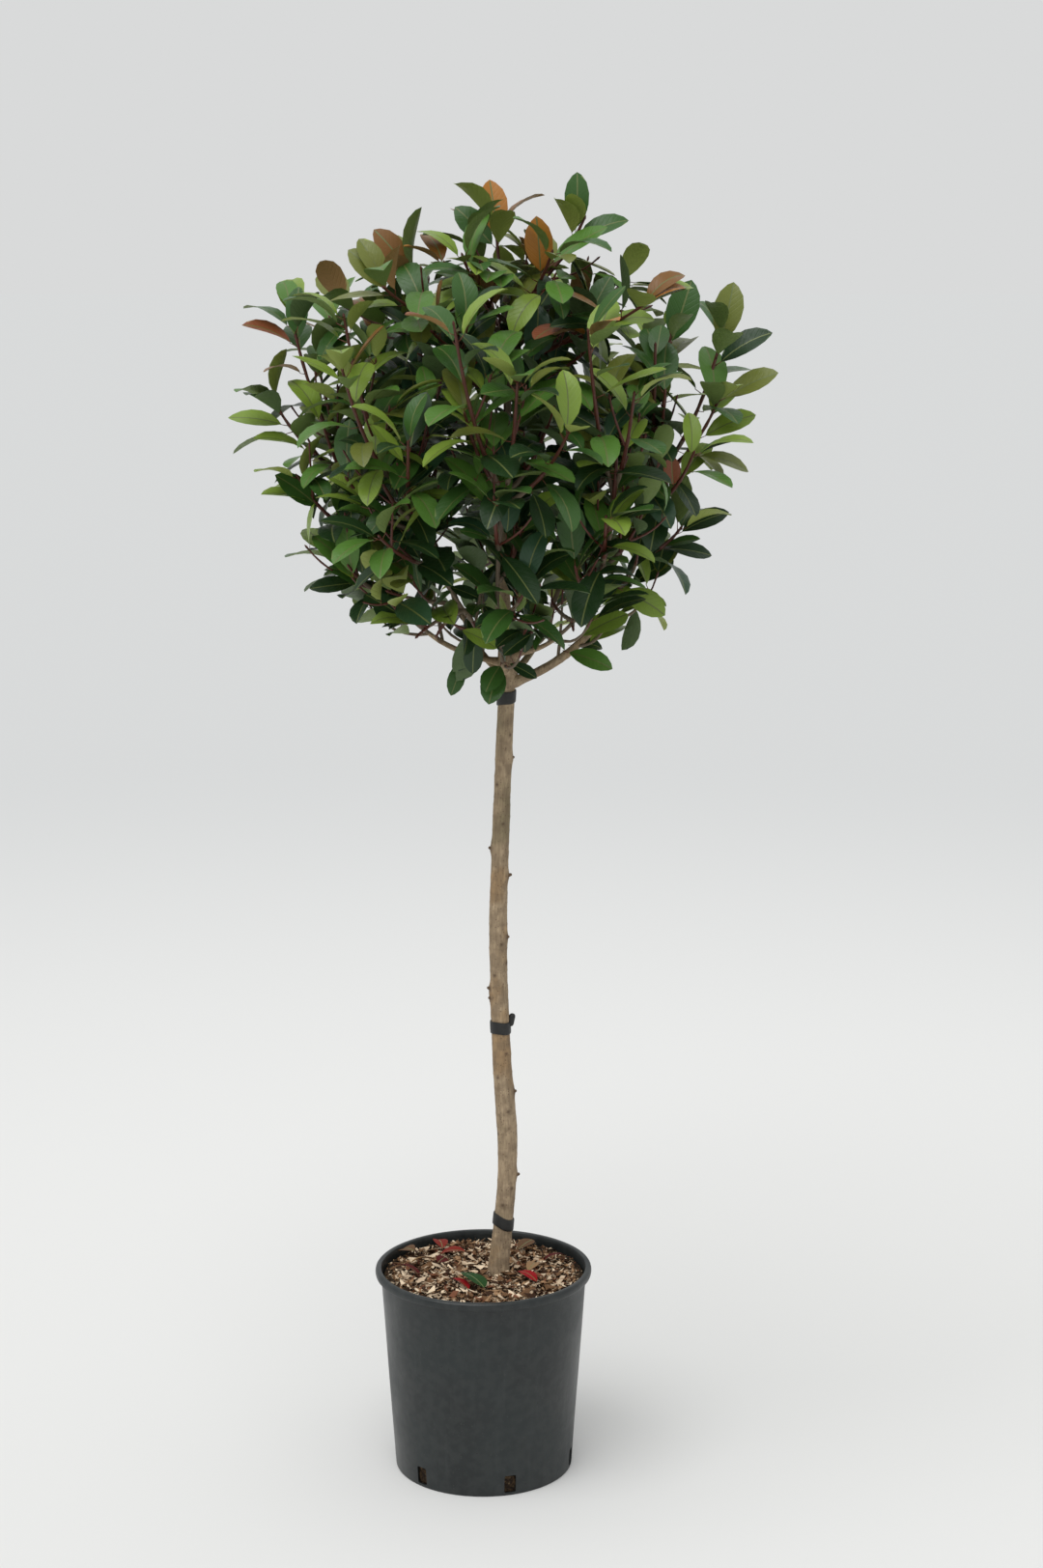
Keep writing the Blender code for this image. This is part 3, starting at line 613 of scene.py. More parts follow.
def fill_streaks(tree, given):
    squash = put(tree, "ShaderNodeCombineXYZ", None, {0: 1.0, 1: 1.0, 2: given["Squash"]})
    drawn = put(tree, "ShaderNodeVectorMath", {"operation": "MULTIPLY"}, {
        0: given["Vector"], 1: squash.outputs[0],
    })
    pattern = put(tree, "ShaderNodeTexNoise", None, {
        "Vector": drawn.outputs[0], "Scale": given["Scale"], "Detail": 5.0,
    })
    return {"Mask": soft_step(tree, pattern.outputs[0], given["Low"], given["High"])}


def fill_specks(tree, given):
    cells = put(tree, "ShaderNodeTexVoronoi", None, {"Vector": given["Vector"], "Scale": given["Scale"]})
    near = soft_step(tree, cells.outputs["Distance"], given["Size"], 0.0)
    drawn = put(tree, "ShaderNodeSeparateColor", None, {0: cells.outputs["Color"]})
    some = maths(tree, "LESS_THAN", drawn.outputs[0], given["Share"])
    return {"Mask": maths(tree, "MULTIPLY", near, some)}


def fill_veins(tree, given):
    """Side veins that slant from the midrib of a blade towards its tip."""
    place = put(tree, "ShaderNodeSeparateXYZ", None, {0: given["Blade"]})
    aside = maths(tree, "ABSOLUTE", maths(tree, "SUBTRACT", place.outputs[1], 0.5))
    along = maths(tree, "SUBTRACT", place.outputs[0], maths(tree, "MULTIPLY", aside, given["Slant"]))
    wave = maths(tree, "PINGPONG", maths(tree, "MULTIPLY", along, given["Pairs"]), 0.5)
    return {"Height": soft_step(tree, wave, 0.0, VEIN_WIDTH)}


VECTOR, NUMBER = "NodeSocketVector", "NodeSocketFloat"
MOTTLE = named_group(
    "mottling", "ShaderNodeTree",
    (("Vector", VECTOR, None), ("Scale", NUMBER, 10.0), ("Detail", NUMBER, 4.0), ("Low", NUMBER, 0.4),
     ("High", NUMBER, 0.6)),
    (("Mask", NUMBER),), fill_mottle,
)
STREAKS = named_group(
    "streaks", "ShaderNodeTree",
    (("Vector", VECTOR, None), ("Scale", NUMBER, 200.0), ("Squash", NUMBER, 0.1), ("Low", NUMBER, 0.4),
     ("High", NUMBER, 0.6)),
    (("Mask", NUMBER),), fill_streaks,
)
SPECKS = named_group(
    "specks", "ShaderNodeTree",
    (("Vector", VECTOR, None), ("Scale", NUMBER, 200.0), ("Size", NUMBER, 0.3), ("Share", NUMBER, 0.3)),
    (("Mask", NUMBER),), fill_specks,
)
VEINS = named_group(
    "leaf veins", "ShaderNodeTree",
    (("Blade", VECTOR, None), ("Pairs", NUMBER, 9.0), ("Slant", NUMBER, 0.55)),
    (("Height", NUMBER),), fill_veins,
)


def use(tree, group, **inputs):
    """Place a shader group in a material and return its first output."""
    return put(tree, "ShaderNodeGroup", {"node_tree": group}, inputs).outputs[0]


def tone(tree, mask, first, second):
    """A mix of two colours, each plain or another node's output."""
    first, second = ((*side, 1.0) if isinstance(side, tuple) else side for side in (first, second))
    return put(tree, "ShaderNodeMix", {"data_type": "RGBA"}, {0: mask, 6: first, 7: second}).outputs[2]


def between(tree, mask, low, high):
    """A value that follows a mask from low to high."""
    return put(tree, "ShaderNodeMapRange", None, {"Value": mask, "To Min": low, "To Max": high}).outputs[0]


def total(tree, first, second, share):
    """One height plus a share of another."""
    return put(tree, "ShaderNodeMath", {"operation": "MULTIPLY_ADD"}, {
        0: second, 1: share, 2: first,
    }).outputs[0]


def finish(name, colour, roughness, plain=None):
    """A material with one Principled shader. plain gives other values by socket name."""
    made = bpy.data.materials.new(name)
    made.use_nodes = True
    shader = made.node_tree.nodes["Principled BSDF"]
    shader.inputs["Base Color"].default_value = (*colour, 1.0)
    shader.inputs["Roughness"].default_value = roughness
    for label, value in (plain or {}).items():
        shader.inputs[label].default_value = value
    return made, made.node_tree, shader


def feed(tree, shader, colour=None, roughness=None, height=None, depth=0.001, strength=0.5):
    """Link what changes over the surface to a material's shader."""
    if colour is not None:
        tree.links.new(colour, shader.inputs["Base Color"])
    if roughness is not None:
        tree.links.new(roughness, shader.inputs["Roughness"])
    if height is not None:
        relief = put(tree, "ShaderNodeBump", None, {
            "Height": height, "Distance": depth, "Strength": strength,
        })
        tree.links.new(relief.outputs["Normal"], shader.inputs["Normal"])


def object_place(tree):
    return put(tree, "ShaderNodeTexCoord").outputs["Object"]


def blade_finish(name, colour, shine, strength, gloss=0.38):
    """A leaf's surface: veins and a fine waxy grain over one plain colour."""
    made, tree, shader = finish(name, colour, shine, {"Specular IOR Level": gloss})
    blade = put(tree, "ShaderNodeUVMap", {"uv_map": "blade"}).outputs[0]
    veins = use(tree, VEINS, Blade=blade)
    place = object_place(tree)
    wax = use(tree, MOTTLE, Vector=place, Scale=130.0, Detail=3.0, Low=0.3, High=0.7)
    height = total(tree, veins, wax, 0.5)
    feed(tree, shader, roughness=between(tree, wax, shine - 0.06, shine + 0.12), height=height,
         depth=0.0005, strength=strength)
    return made


def stalk_finish(name, colour, roughness, scale):
    """The skin of a young shoot or a leaf stalk: fine lengthways grain and a few pores."""
    made, tree, shader = finish(name, colour, roughness)
    place = object_place(tree)
    grain = use(tree, STREAKS, Vector=place, Scale=scale, Squash=0.3, Low=0.3, High=0.7)
    pores = use(tree, SPECKS, Vector=place, Scale=scale * 0.8, Size=0.35, Share=0.35)
    feed(tree, shader, roughness=between(tree, grain, roughness - 0.1, roughness + 0.1),
         height=total(tree, grain, pores, 0.8), depth=0.0004, strength=0.5)
    return made


def bark_finish():
    """Pale grey-tan bark: warm stains, fine streaks, darker hollows and brown scars."""
    made, tree, shader = finish("bark", (0.36, 0.27, 0.18), 0.85, {"Specular IOR Level": 0.25})
    place = object_place(tree)
    skin = put(tree, "ShaderNodeAttribute", {"attribute_name": "relief"}).outputs["Fac"]
    scar = put(tree, "ShaderNodeAttribute", {"attribute_name": "scar"}).outputs["Fac"]
    warm = use(tree, MOTTLE, Vector=place, Scale=14.0, Detail=5.0, Low=0.50, High=0.62)
    moss = use(tree, MOTTLE, Vector=place, Scale=9.0, Detail=6.0, Low=0.53, High=0.68)
    dull = use(tree, MOTTLE, Vector=place, Scale=60.0, Detail=6.0, Low=0.42, High=0.62)
    grain = use(tree, STREAKS, Vector=place, Scale=420.0, Squash=0.14, Low=0.38, High=0.60)
    pores = use(tree, SPECKS, Vector=place, Scale=280.0, Size=0.42, Share=0.38)
    colour = tone(tree, warm, (0.460, 0.350, 0.228), (0.395, 0.266, 0.146))
    colour = tone(tree, between(tree, moss, 0.0, 0.70), colour, (0.165, 0.150, 0.080))
    colour = tone(tree, between(tree, dull, 0.0, 0.55), colour, (0.215, 0.160, 0.105))
    colour = tone(tree, between(tree, grain, 0.34, 0.0), colour, (0.150, 0.105, 0.062))
    colour = tone(tree, between(tree, skin, 0.42, 0.0), colour, (0.120, 0.078, 0.045))
    colour = tone(tree, between(tree, pores, 0.0, 0.8), colour, (0.085, 0.048, 0.028))
    colour = tone(tree, scar, colour, (0.075, 0.045, 0.030))
    feed(tree, shader, colour, between(tree, grain, 0.72, 0.92), total(tree, grain, dull, 0.8), 0.0006, 0.6)
    return made


def pot_finish():
    """Black pot plastic gone grey: dusty patches, drips, scuffs and dark specks."""
    made, tree, shader = finish("pot_plastic", (0.016, 0.021, 0.022), 0.45)
    place = object_place(tree)
    dust = use(tree, MOTTLE, Vector=place, Scale=9.0, Detail=6.0, Low=0.36, High=0.70)
    fine = use(tree, MOTTLE, Vector=place, Scale=75.0, Detail=4.0, Low=0.36, High=0.66)
    drips = use(tree, STREAKS, Vector=place, Scale=70.0, Squash=0.07, Low=0.50, High=0.75)
    specks = use(tree, SPECKS, Vector=place, Scale=120.0, Size=0.20, Share=0.40)
    grit = use(tree, SPECKS, Vector=place, Scale=260.0, Size=0.24, Share=0.16)
    colour = tone(tree, dust, (0.0055, 0.0085, 0.0090), (0.0110, 0.0165, 0.0170))
    colour = tone(tree, between(tree, fine, 0.0, 0.40), colour, (0.027, 0.031, 0.030))
    colour = tone(tree, between(tree, drips, 0.0, 0.30), colour, (0.032, 0.037, 0.037))
    colour = tone(tree, between(tree, specks, 0.0, 0.8), colour, (0.003, 0.003, 0.003))
    colour = tone(tree, between(tree, grit, 0.0, 0.5), colour, (0.085, 0.085, 0.078))
    feed(tree, shader, colour, between(tree, dust, 0.36, 0.56), total(tree, fine, drips, 0.4), 0.0004, 0.25)
    return made


def compost_finish():
    made, tree, shader = finish("compost", (0.06, 0.042, 0.028), 0.95, {"Specular IOR Level": 0.15})
    place = object_place(tree)
    lumps = use(tree, MOTTLE, Vector=place, Scale=170.0, Detail=5.0, Low=0.35, High=0.65)
    fibres = use(tree, SPECKS, Vector=place, Scale=190.0, Size=0.45, Share=0.30)
    colour = tone(tree, lumps, (0.014, 0.009, 0.006), (0.060, 0.038, 0.020))
    colour = tone(tree, fibres, colour, (0.130, 0.090, 0.048))
    feed(tree, shader, colour, between(tree, lumps, 0.85, 0.98), lumps, 0.003, 0.8)
    return made


def chip_finish(name, colour):
    """A bark or wood chip of one plain colour, with its grain in relief."""
    made, tree, shader = finish(name, colour, 0.85, {"Specular IOR Level": 0.15})
    place = object_place(tree)
    grain = use(tree, STREAKS, Vector=place, Scale=500.0, Squash=0.5, Low=0.3, High=0.7)
    pits = use(tree, MOTTLE, Vector=place, Scale=420.0, Detail=4.0, Low=0.35, High=0.65)
    feed(tree, shader, roughness=between(tree, pits, 0.72, 0.95), height=total(tree, grain, pits, 0.7),
         depth=0.0006, strength=0.7)
    return made


def rubber_finish():
    made, tree, shader = finish("tie_rubber", (0.010, 0.011, 0.011), 0.5)
    place = object_place(tree)
    dust = use(tree, MOTTLE, Vector=place, Scale=90.0, Detail=5.0, Low=0.40, High=0.70)
    grain = use(tree, MOTTLE, Vector=place, Scale=900.0, Detail=3.0, Low=0.30, High=0.70)
    colour = tone(tree, dust, (0.005, 0.005, 0.0045), (0.017, 0.017, 0.015))
    feed(tree, shader, colour, between(tree, dust, 0.42, 0.65), grain, 0.0003, 0.4)
    return made


def floor_finish():
    made, tree, shader = finish("studio_floor", FLOOR_POOL_OF_LIGHT_COLOUR, 0.6, {"Specular IOR Level": 0.0})
    place = object_place(tree)
    away = put(tree, "ShaderNodeVectorMath", {"operation": "LENGTH"}, {0: place}).outputs["Value"]
    # Painted light: the floor is paler near the pot, a painted pool of light, and dims with distance.
    share = soft_step(tree, away, FLOOR_NEAR, FLOOR_FAR)
    smear = use(tree, MOTTLE, Vector=place, Scale=2.5, Detail=4.0, Low=0.3, High=0.7)
    feed(tree, shader, tone(tree, share, FLOOR_POOL_OF_LIGHT_COLOUR, FLOOR_FAR_COLOUR), between(tree, smear, 0.5, 0.7))
    return made


CHIP_COLOURS = {
    "chip_cream": (0.860, 0.690, 0.490),
    "chip_pale": (0.620, 0.475, 0.330),
    "chip_tan": (0.380, 0.230, 0.125),
    "chip_brown": (0.160, 0.085, 0.042),
    # Near-black chips: partly dark bark, and partly painted shade for the gaps between chips.
    "chip_dark": (0.044, 0.020, 0.010),
    "chip_red_brown": (0.200, 0.080, 0.042),
}
# How many of thirteen chips have each colour, in the order above.
CHIP_SHARES = (2, 2, 2, 3, 3, 1)


def outward(azimuth):
    """The level direction at this azimuth."""
    return Vector((math.sin(azimuth), -math.cos(azimuth), 0.0))


def bezier(points, at):
    """The point at a share of the way along the Bezier curve that these points steer."""
    points = [Vector(point) for point in points]
    while len(points) > 1:
        points = [first.lerp(second, at) for first, second in zip(points, points[1:])]
    return points[0]


def through(points, count):
    """count + 1 places along a smooth curve through the given points."""
    points = [Vector(point) for point in points]
    ends = [2 * points[0] - points[1], *points, 2 * points[-1] - points[-2]]
    found = []
    for step in range(count + 1):
        at = step / count * (len(points) - 1)
        span = min(int(at), len(points) - 2)
        t = at - span
        before, start, end, after = ends[span : span + 4]
        found.append(
            0.5 * (
                2 * start
                + (end - before) * t
                + (2 * before - 5 * start + 4 * end - after) * t**2
                + (3 * start - before - 3 * end + after) * t**3
            )
        )
    return found


def scaled(point, shares):
    """A point whose parts are multiplied one by one."""
    return Vector([part * share for part, share in zip(point, shares)])


def bell(distance, width):
    return math.exp(-((distance / width) ** 2))


def linked(name, data):
    """A new object in the scene."""
    made = bpy.data.objects.new(name, data)
    bpy.context.scene.collection.objects.link(made)
    return made


def mesh_from(work, name):
    """The mesh that a bmesh holds. The bmesh goes."""
    mesh = bpy.data.meshes.new(name)
    work.to_mesh(mesh)
    work.free()
    return mesh


def as_tuples(points):
    return [tuple(point) for point in points]


def mesh_object(name, points, faces, finishes, smooth=True, edges=()):
    """An object with a mesh of these points, faces and loose edges."""
    mesh = bpy.data.meshes.new(name)
    mesh.from_pydata(as_tuples(points), edges, faces)
    for made in finishes:
        mesh.materials.append(made)
    if smooth:
        mesh.shade_smooth()
        mesh.set_sharp_from_angle(angle=SMOOTH_ANGLE)
    return linked(name, mesh)


def outward_faces(thing):
    """Join a closed mesh's doubled points and turn its faces to point out."""
    work = bmesh.new()
    work.from_mesh(thing.data)
    bmesh.ops.remove_doubles(work, verts=work.verts, dist=SAME_POINT)
    bmesh.ops.recalc_face_normals(work, faces=work.faces)
    work.to_mesh(thing.data)
    work.free()


def write_values(mesh, name, kind, domain, values):
    """Store one value for each point, face or corner under a name."""
    layer = mesh.attributes.new(name, kind, domain)
    if kind == "FLOAT_VECTOR":
        layer.data.foreach_set("vector", [part for value in values for part in value])
    else:
        layer.data.foreach_set("value", values)


def plain_result(host, name):
    """What the host's modifiers make of it, as a plain mesh object at the origin. The host goes."""
    graph = bpy.context.evaluated_depsgraph_get()
    seen = host.evaluated_get(graph)
    mesh = bpy.data.meshes.new_from_object(seen, preserve_all_data_layers=True, depsgraph=graph)
    mesh.name = name
    bpy.data.objects.remove(host)
    made = linked(name, mesh)
    keep_used_finishes(mesh)
    return made


def keep_used_finishes(mesh):
    """Drop the material slots that no face uses."""
    worn = [0] * len(mesh.polygons)
    mesh.polygons.foreach_get("material_index", worn)
    kept = sorted(set(worn))
    finishes = [mesh.materials[number] for number in kept]
    mesh.materials.clear()
    for made in finishes:
        mesh.materials.append(made)
    mesh.polygons.foreach_set("material_index", [kept.index(number) for number in worn])


def declare(piece, slot, *nodes):
    """Tell the frame what a finished piece rides on and the solids it stands for. The slot is not used."""
    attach(piece, "root")
    if nodes:
        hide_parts(*nodes)


def repeat_with(host, tree, values):
    """Give the host a Geometry Nodes modifier, with the tree's inputs set by their names."""
    step = host.modifiers.new(tree.name, "NODES")
    step.node_group = tree
    sockets = {
        item.name: item.identifier
        for item in tree.interface.items_tree
        if item.item_type == "SOCKET" and item.in_out == "INPUT"
    }
    for name, value in values.items():
        step[sockets[name]] = value


def rounded(profile, steps=4):
    """A (radius, height) outline whose corners are rounded: each point also gives its corner's size."""
    outline = []
    for i, (radius, height, size) in enumerate(profile):
        corner = Vector((radius, height))
        if size == 0.0 or i in (0, len(profile) - 1):
            outline.append(corner)
            continue
        before = (Vector(profile[i - 1][:2]) - corner).normalized() * size
        after = (Vector(profile[i + 1][:2]) - corner).normalized() * size
        for step in range(steps + 1):
            t = step / steps
            outline.append(corner + before * (1 - t) ** 2 + after * t**2)
    return outline


def spun(name, outline, steps, finish_made):
    """A body of revolution about the Z axis."""
    work = bmesh.new()
    corners = [work.verts.new((point.x, 0.0, point.y)) for point in outline]
    edges = [work.edges.new(pair) for pair in zip(corners, corners[1:])]
    bmesh.ops.spin(
        work, geom=corners + edges, cent=(0, 0, 0), axis=UP, angle=math.tau, steps=steps, use_merge=True,
    )
    bmesh.ops.remove_doubles(work, verts=work.verts, dist=SAME_POINT)
    bmesh.ops.recalc_face_normals(work, faces=work.faces)
    mesh = mesh_from(work, name)
    mesh.materials.append(finish_made)
    return linked(name, mesh)


def wall_radius(height):
    """The pot wall's outer radius at a height."""
    return POT_BASE_RADIUS + POT_WALL_SLOPE * height


def rounded_box(name, size, place, turn, edge):
    """A box with rounded edges, turned and moved in its mesh."""
    work = bmesh.new()
    bmesh.ops.create_cube(work, size=1.0, matrix=Matrix.Diagonal((*size, 1.0)))
    bmesh.ops.bevel(work, geom=work.edges, offset=edge, segments=3, affect="EDGES", profile=0.5)
    bmesh.ops.transform(work, matrix=Matrix.Translation(place) @ turn.to_4x4(), verts=work.verts)
    return linked(name, mesh_from(work, name))


def build_pot(plastic):
    """The pot: a slightly uneven wall, a rolled rim with a soft lip, and drain slots through the wall."""
    rim_low = POT_HEIGHT - RIM_HEIGHT
    inner_top = wall_radius(POT_HEIGHT) - POT_WALL
    # Each corner: radius, height and how far it is rounded.
    profile = (
        (0.0, 0.0, 0.0),
        (POT_BASE_RADIUS, 0.0, 0.0022),
        *((wall_radius(height), height, 0.0) for height in (0.02, 0.06, 0.10, 0.14, 0.18, 0.22, 0.26)),
        (wall_radius(rim_low), rim_low, 0.0012),
        (RIM_RADIUS - 0.0012, rim_low - 0.0004, 0.0016),
        (RIM_RADIUS, rim_low + 0.0040, 0.0022),
        (RIM_RADIUS - 0.0006, POT_HEIGHT, 0.0048),
        (inner_top + 0.0012, POT_HEIGHT - 0.0004, 0.0016),
        (inner_top, POT_HEIGHT - 0.006, 0.0010),
        (wall_radius(0.20) - POT_WALL, 0.20, 0.0),
        (wall_radius(POT_FLOOR) - POT_WALL, POT_FLOOR, 0.0015),
        (0.0, POT_FLOOR, 0.0),
    )
    pot = spun("pot_shell", rounded(profile), POT_STEPS, plastic)
    for point in pot.data.vertices:
        place = point.co
        away = Vector((place.x, place.y, 0.0))
        if away.length > WALL_INNERMOST and place.z > WALL_SWAY_FROM:
            sway = noise.noise(scaled(place, WALL_SWAY_FINENESS))
            point.co = place + away.normalized() * sway * WALL_SWAY
    for k in range(DRAIN_COUNT):
        azimuth = DRAIN_FIRST_AZIMUTH + k * math.tau / DRAIN_COUNT
        middle = DRAIN_BOTTOM + DRAIN_HEIGHT / 2
        place = outward(azimuth) * wall_radius(middle) + UP * middle
        size = (DRAIN_WIDTH, DRAIN_CUT_DEPTH, DRAIN_HEIGHT)
        cutter = rounded_box(f"drain_cutter_{k}", size, place, Matrix.Rotation(azimuth, 3, "Z"), DRAIN_ROUND)
        step = pot.modifiers.new(cutter.name, "BOOLEAN")
        step.operation = "DIFFERENCE"
        step.solver = "EXACT"
        step.object = cutter
    pot = plain_result(pot, "pot_shell")
    for k in range(DRAIN_COUNT):
        bpy.data.objects.remove(bpy.data.objects[f"drain_cutter_{k}"])
    pot.data.shade_smooth()
    pot.data.set_sharp_from_angle(angle=SMOOTH_ANGLE)
    declare(pot, "pot_plastic", "pot")


def build_compost(compost):
    """The compost that fills the pot, with an uneven crumbly top."""
    points = [Vector((0.0, 0.0, SOIL_TOP))]
    faces = []
    for ring in range(1, SOIL_RINGS + 1):
        share = ring / SOIL_RINGS
        for turn in range(SOIL_TURNS):
            place = outward(turn * math.tau / SOIL_TURNS) * SOIL_RADIUS * share
            place.z = SOIL_TOP + (SOIL_EDGE - SOIL_TOP) * share**3
            if ring < SOIL_RINGS:
                place.z += SOIL_ROUGH * noise.fractal(place * CRUMB_FINENESS, *CRUMB_SHAPE)
            points.append(place)
    for height in SOIL_WALL_HEIGHTS:
        for turn in range(SOIL_TURNS):
            place = outward(turn * math.tau / SOIL_TURNS) * (wall_radius(height) - POT_WALL - SOIL_GAP)
            points.append(place + UP * height)
    rings = SOIL_RINGS + len(SOIL_WALL_HEIGHTS)
    for turn in range(SOIL_TURNS):
        after = (turn + 1) % SOIL_TURNS
        faces.append((0, 1 + turn, 1 + after))
        for ring in range(rings - 1):
            low = 1 + ring * SOIL_TURNS
            high = low + SOIL_TURNS
            faces.append((low + turn, high + turn, high + after, low + after))
    last = 1 + (rings - 1) * SOIL_TURNS
    faces.append(tuple(range(last, last + SOIL_TURNS)))
    piece = mesh_object("compost", points, faces, [compost])
    outward_faces(piece)
    declare(piece, "mulch", "soil")


def chip_form(number):
    """A splinter or flake of bark: the hull of a few seeded points in a flat box."""
    chance = random.Random(CHIP_SEED + number)
    long = chance.uniform(*CHIP_LENGTHS)
    wide = long * chance.uniform(*CHIP_WIDTH_SHARES)
    thick = chance.uniform(*CHIP_THICKNESSES)
    work = bmesh.new()
    for _ in range(CHIP_CORNERS):
        place = Vector((chance.uniform(-0.5, 0.5), chance.uniform(-0.5, 0.5), chance.choice((-0.5, 0.5))))
        bow = CHIP_BOW * wide * (2 * place.x) ** 2
        work.verts.new((place.x * long, place.y * wide * (CHIP_PINCH - abs(place.x)), place.z * thick + bow))
    bmesh.ops.convex_hull(work, input=work.verts)
    bmesh.ops.delete(work, geom=[vert for vert in work.verts if not vert.link_faces], context="VERTS")
    bmesh.ops.recalc_face_normals(work, faces=work.faces)
    mesh = mesh_from(work, f"chip_form_{number}")
    return bpy.data.objects.new(mesh.name, mesh)


def form_collection(name, forms):
    """Forms to repeat, kept together while the trees are evaluated."""
    kept = bpy.data.collections.new(name)
    bpy.context.scene.collection.children.link(kept)
    for form in forms:
        kept.objects.link(form)
    return kept


def drop_collection(kept):
    for form in list(kept.objects):
        bpy.data.objects.remove(form)
    bpy.data.collections.remove(kept)


def stored(tree, name, kind):
    """A value that the geometry stores under a name."""
    return put(tree, "GeometryNodeInputNamedAttribute", {"data_type": kind}, {"Name": name}).outputs[0]


def is_number(tree, name, number):
    """Whether a stored whole number has this value."""
    return put(tree, "FunctionNodeCompare", {"data_type": "INT", "operation": "EQUAL"}, {
        2: stored(tree, name, "INT"), 3: number,
    }).outputs[0]


def both(tree, first, second):
    return put(tree, "FunctionNodeBooleanMath", {"operation": "AND"}, {0: first, 1: second}).outputs[0]


def dressed(tree, solid, made, chosen=None):
    """Geometry with a finish on all of it, or on the faces that are chosen."""
    inputs = {"Geometry": solid, "Material": made}
    if chosen is not None:
        inputs["Selection"] = chosen
    return put(tree, "GeometryNodeSetMaterial", None, inputs).outputs[0]


def scatter_tree(forms, finishes):
    """Strew forms over a surface at random, each chip in one of the finishes."""

    def fill(tree, given):
        spots = put(tree, "GeometryNodeDistributePointsOnFaces", {"distribute_method": "RANDOM"}, {
            "Mesh": given["Geometry"], "Density": given["Density"], "Seed": given["Seed"],
        })
        lift = put(tree, "FunctionNodeRandomValue", {"data_type": "FLOAT"}, {
            2: given["Lowest"], 3: given["Highest"], "Seed": 1,
        })
        raised = put(tree, "ShaderNodeCombineXYZ", None, {2: lift.outputs[1]})
        placed = put(tree, "GeometryNodeSetPosition", None, {
            "Geometry": spots.outputs["Points"], "Offset": raised.outputs[0],
        })
        back = maths(tree, "MULTIPLY", given["Lean"], -1.0)
        least = put(tree, "ShaderNodeCombineXYZ", None, {0: back, 1: back, 2: 0.0})
        most = put(tree, "ShaderNodeCombineXYZ", None, {0: given["Lean"], 1: given["Lean"], 2: math.tau})
        turn = put(tree, "FunctionNodeRandomValue", {"data_type": "FLOAT_VECTOR"}, {
            0: least.outputs[0], 1: most.outputs[0], "Seed": 2,
        })
        size = put(tree, "FunctionNodeRandomValue", {"data_type": "FLOAT"}, {
            2: given["Smallest"], 3: given["Largest"], "Seed": 3,
        })
        source = put(tree, "GeometryNodeCollectionInfo", None, {
            "Collection": forms, "Separate Children": True, "Reset Children": True,
        })
        strewn = put(tree, "GeometryNodeInstanceOnPoints", None, {
            "Points": placed.outputs[0], "Instance": source.outputs[0], "Pick Instance": True,
            "Rotation": turn.outputs[0], "Scale": size.outputs[1],
        })
        picked = put(tree, "FunctionNodeRandomValue", {"data_type": "INT"}, {
            4: 0, 5: sum(CHIP_SHARES) - 1, "Seed": 4,
        })
        toned = put(tree, "GeometryNodeStoreNamedAttribute", {"data_type": "INT", "domain": "INSTANCE"}, {
            "Geometry": strewn.outputs[0], "Name": "tone", "Value": picked.outputs[2],
        })
        solid = put(tree, "GeometryNodeRealizeInstances", None, {0: toned.outputs[0]}).outputs[0]
        number = 0
        for made, share in zip(finishes, CHIP_SHARES):
            for _ in range(share):
                solid = dressed(tree, solid, made, is_number(tree, "tone", number))
                number += 1
        return {"Geometry": solid}

    return named_group(
        "scattered chips", "GeometryNodeTree",
        (("Geometry", "NodeSocketGeometry", None), ("Density", NUMBER, 1000.0), ("Smallest", NUMBER, 0.5),
         ("Largest", NUMBER, 1.0), ("Lean", NUMBER, 0.5), ("Lowest", NUMBER, 0.0), ("Highest", NUMBER, 0.004),
         ("Seed", "NodeSocketInt", 1)),
        (("Geometry", "NodeSocketGeometry"),), fill,
    )


def build_chips():
    """Bark and wood chips over the compost, in four layers."""
    forms = form_collection("chip_forms", [chip_form(number) for number in range(CHIP_FORMS)])
    finishes = [chip_finish(name, colour) for name, colour in CHIP_COLOURS.items()]
    tree = scatter_tree(forms, finishes)
    for number, (radius, density, smallest, largest, lean, lowest, highest) in enumerate(CHIP_LAYERS):
        points = [outward(k * math.tau / SOIL_TURNS) * radius + UP * SOIL_EDGE for k in range(SOIL_TURNS)]
        points.append(UP * SOIL_TOP)
        faces = [(k, (k + 1) % SOIL_TURNS, SOIL_TURNS) for k in range(SOIL_TURNS)]
        host = mesh_object(f"chip_ground_{number}", points, faces, [])
        repeat_with(host, tree, {
            "Density": density, "Smallest": smallest, "Largest": largest, "Lean": lean, "Lowest": lowest,
            "Highest": highest, "Seed": STREWN_SEED + number,
        })
        piece = plain_result(host, f"mulch_chips_{number}")
        declare(piece, "mulch")
    drop_collection(forms)


def trunk_path(count):
    """The trunk's centre line in this many steps."""
    return through([(x, 0.0, z) for z, x in TRUNK_BENDS], count)


def trunk_radius(height):
    """Taper, root flare, a slight swelling low down and the pruned head's swelling."""
    share = (height - TRUNK_FOOT) / (TRUNK_TOP - TRUNK_FOOT)
    radius = TRUNK_FOOT_RADIUS + (TRUNK_HEAD_RADIUS - TRUNK_FOOT_RADIUS) * share
    radius += TRUNK_FLARE * math.exp(-(height - TRUNK_FOOT) / TRUNK_FLARE_HEIGHT)
    radius += TRUNK_SWELL * bell(height - TRUNK_SWELL_HEIGHT, TRUNK_SWELL_SPREAD)
    return radius + HEAD_SWELL * bell(height - HEAD_HEIGHT, HEAD_SPREAD)


def trunk_centre(height):
    """The trunk's centre line at a height."""
    path = trunk_path(TRUNK_STEPS)
    for low, high in zip(path, path[1:]):
        if low.z <= height <= high.z:
            return low.lerp(high, (height - low.z) / (high.z - low.z))
    return path[-1]


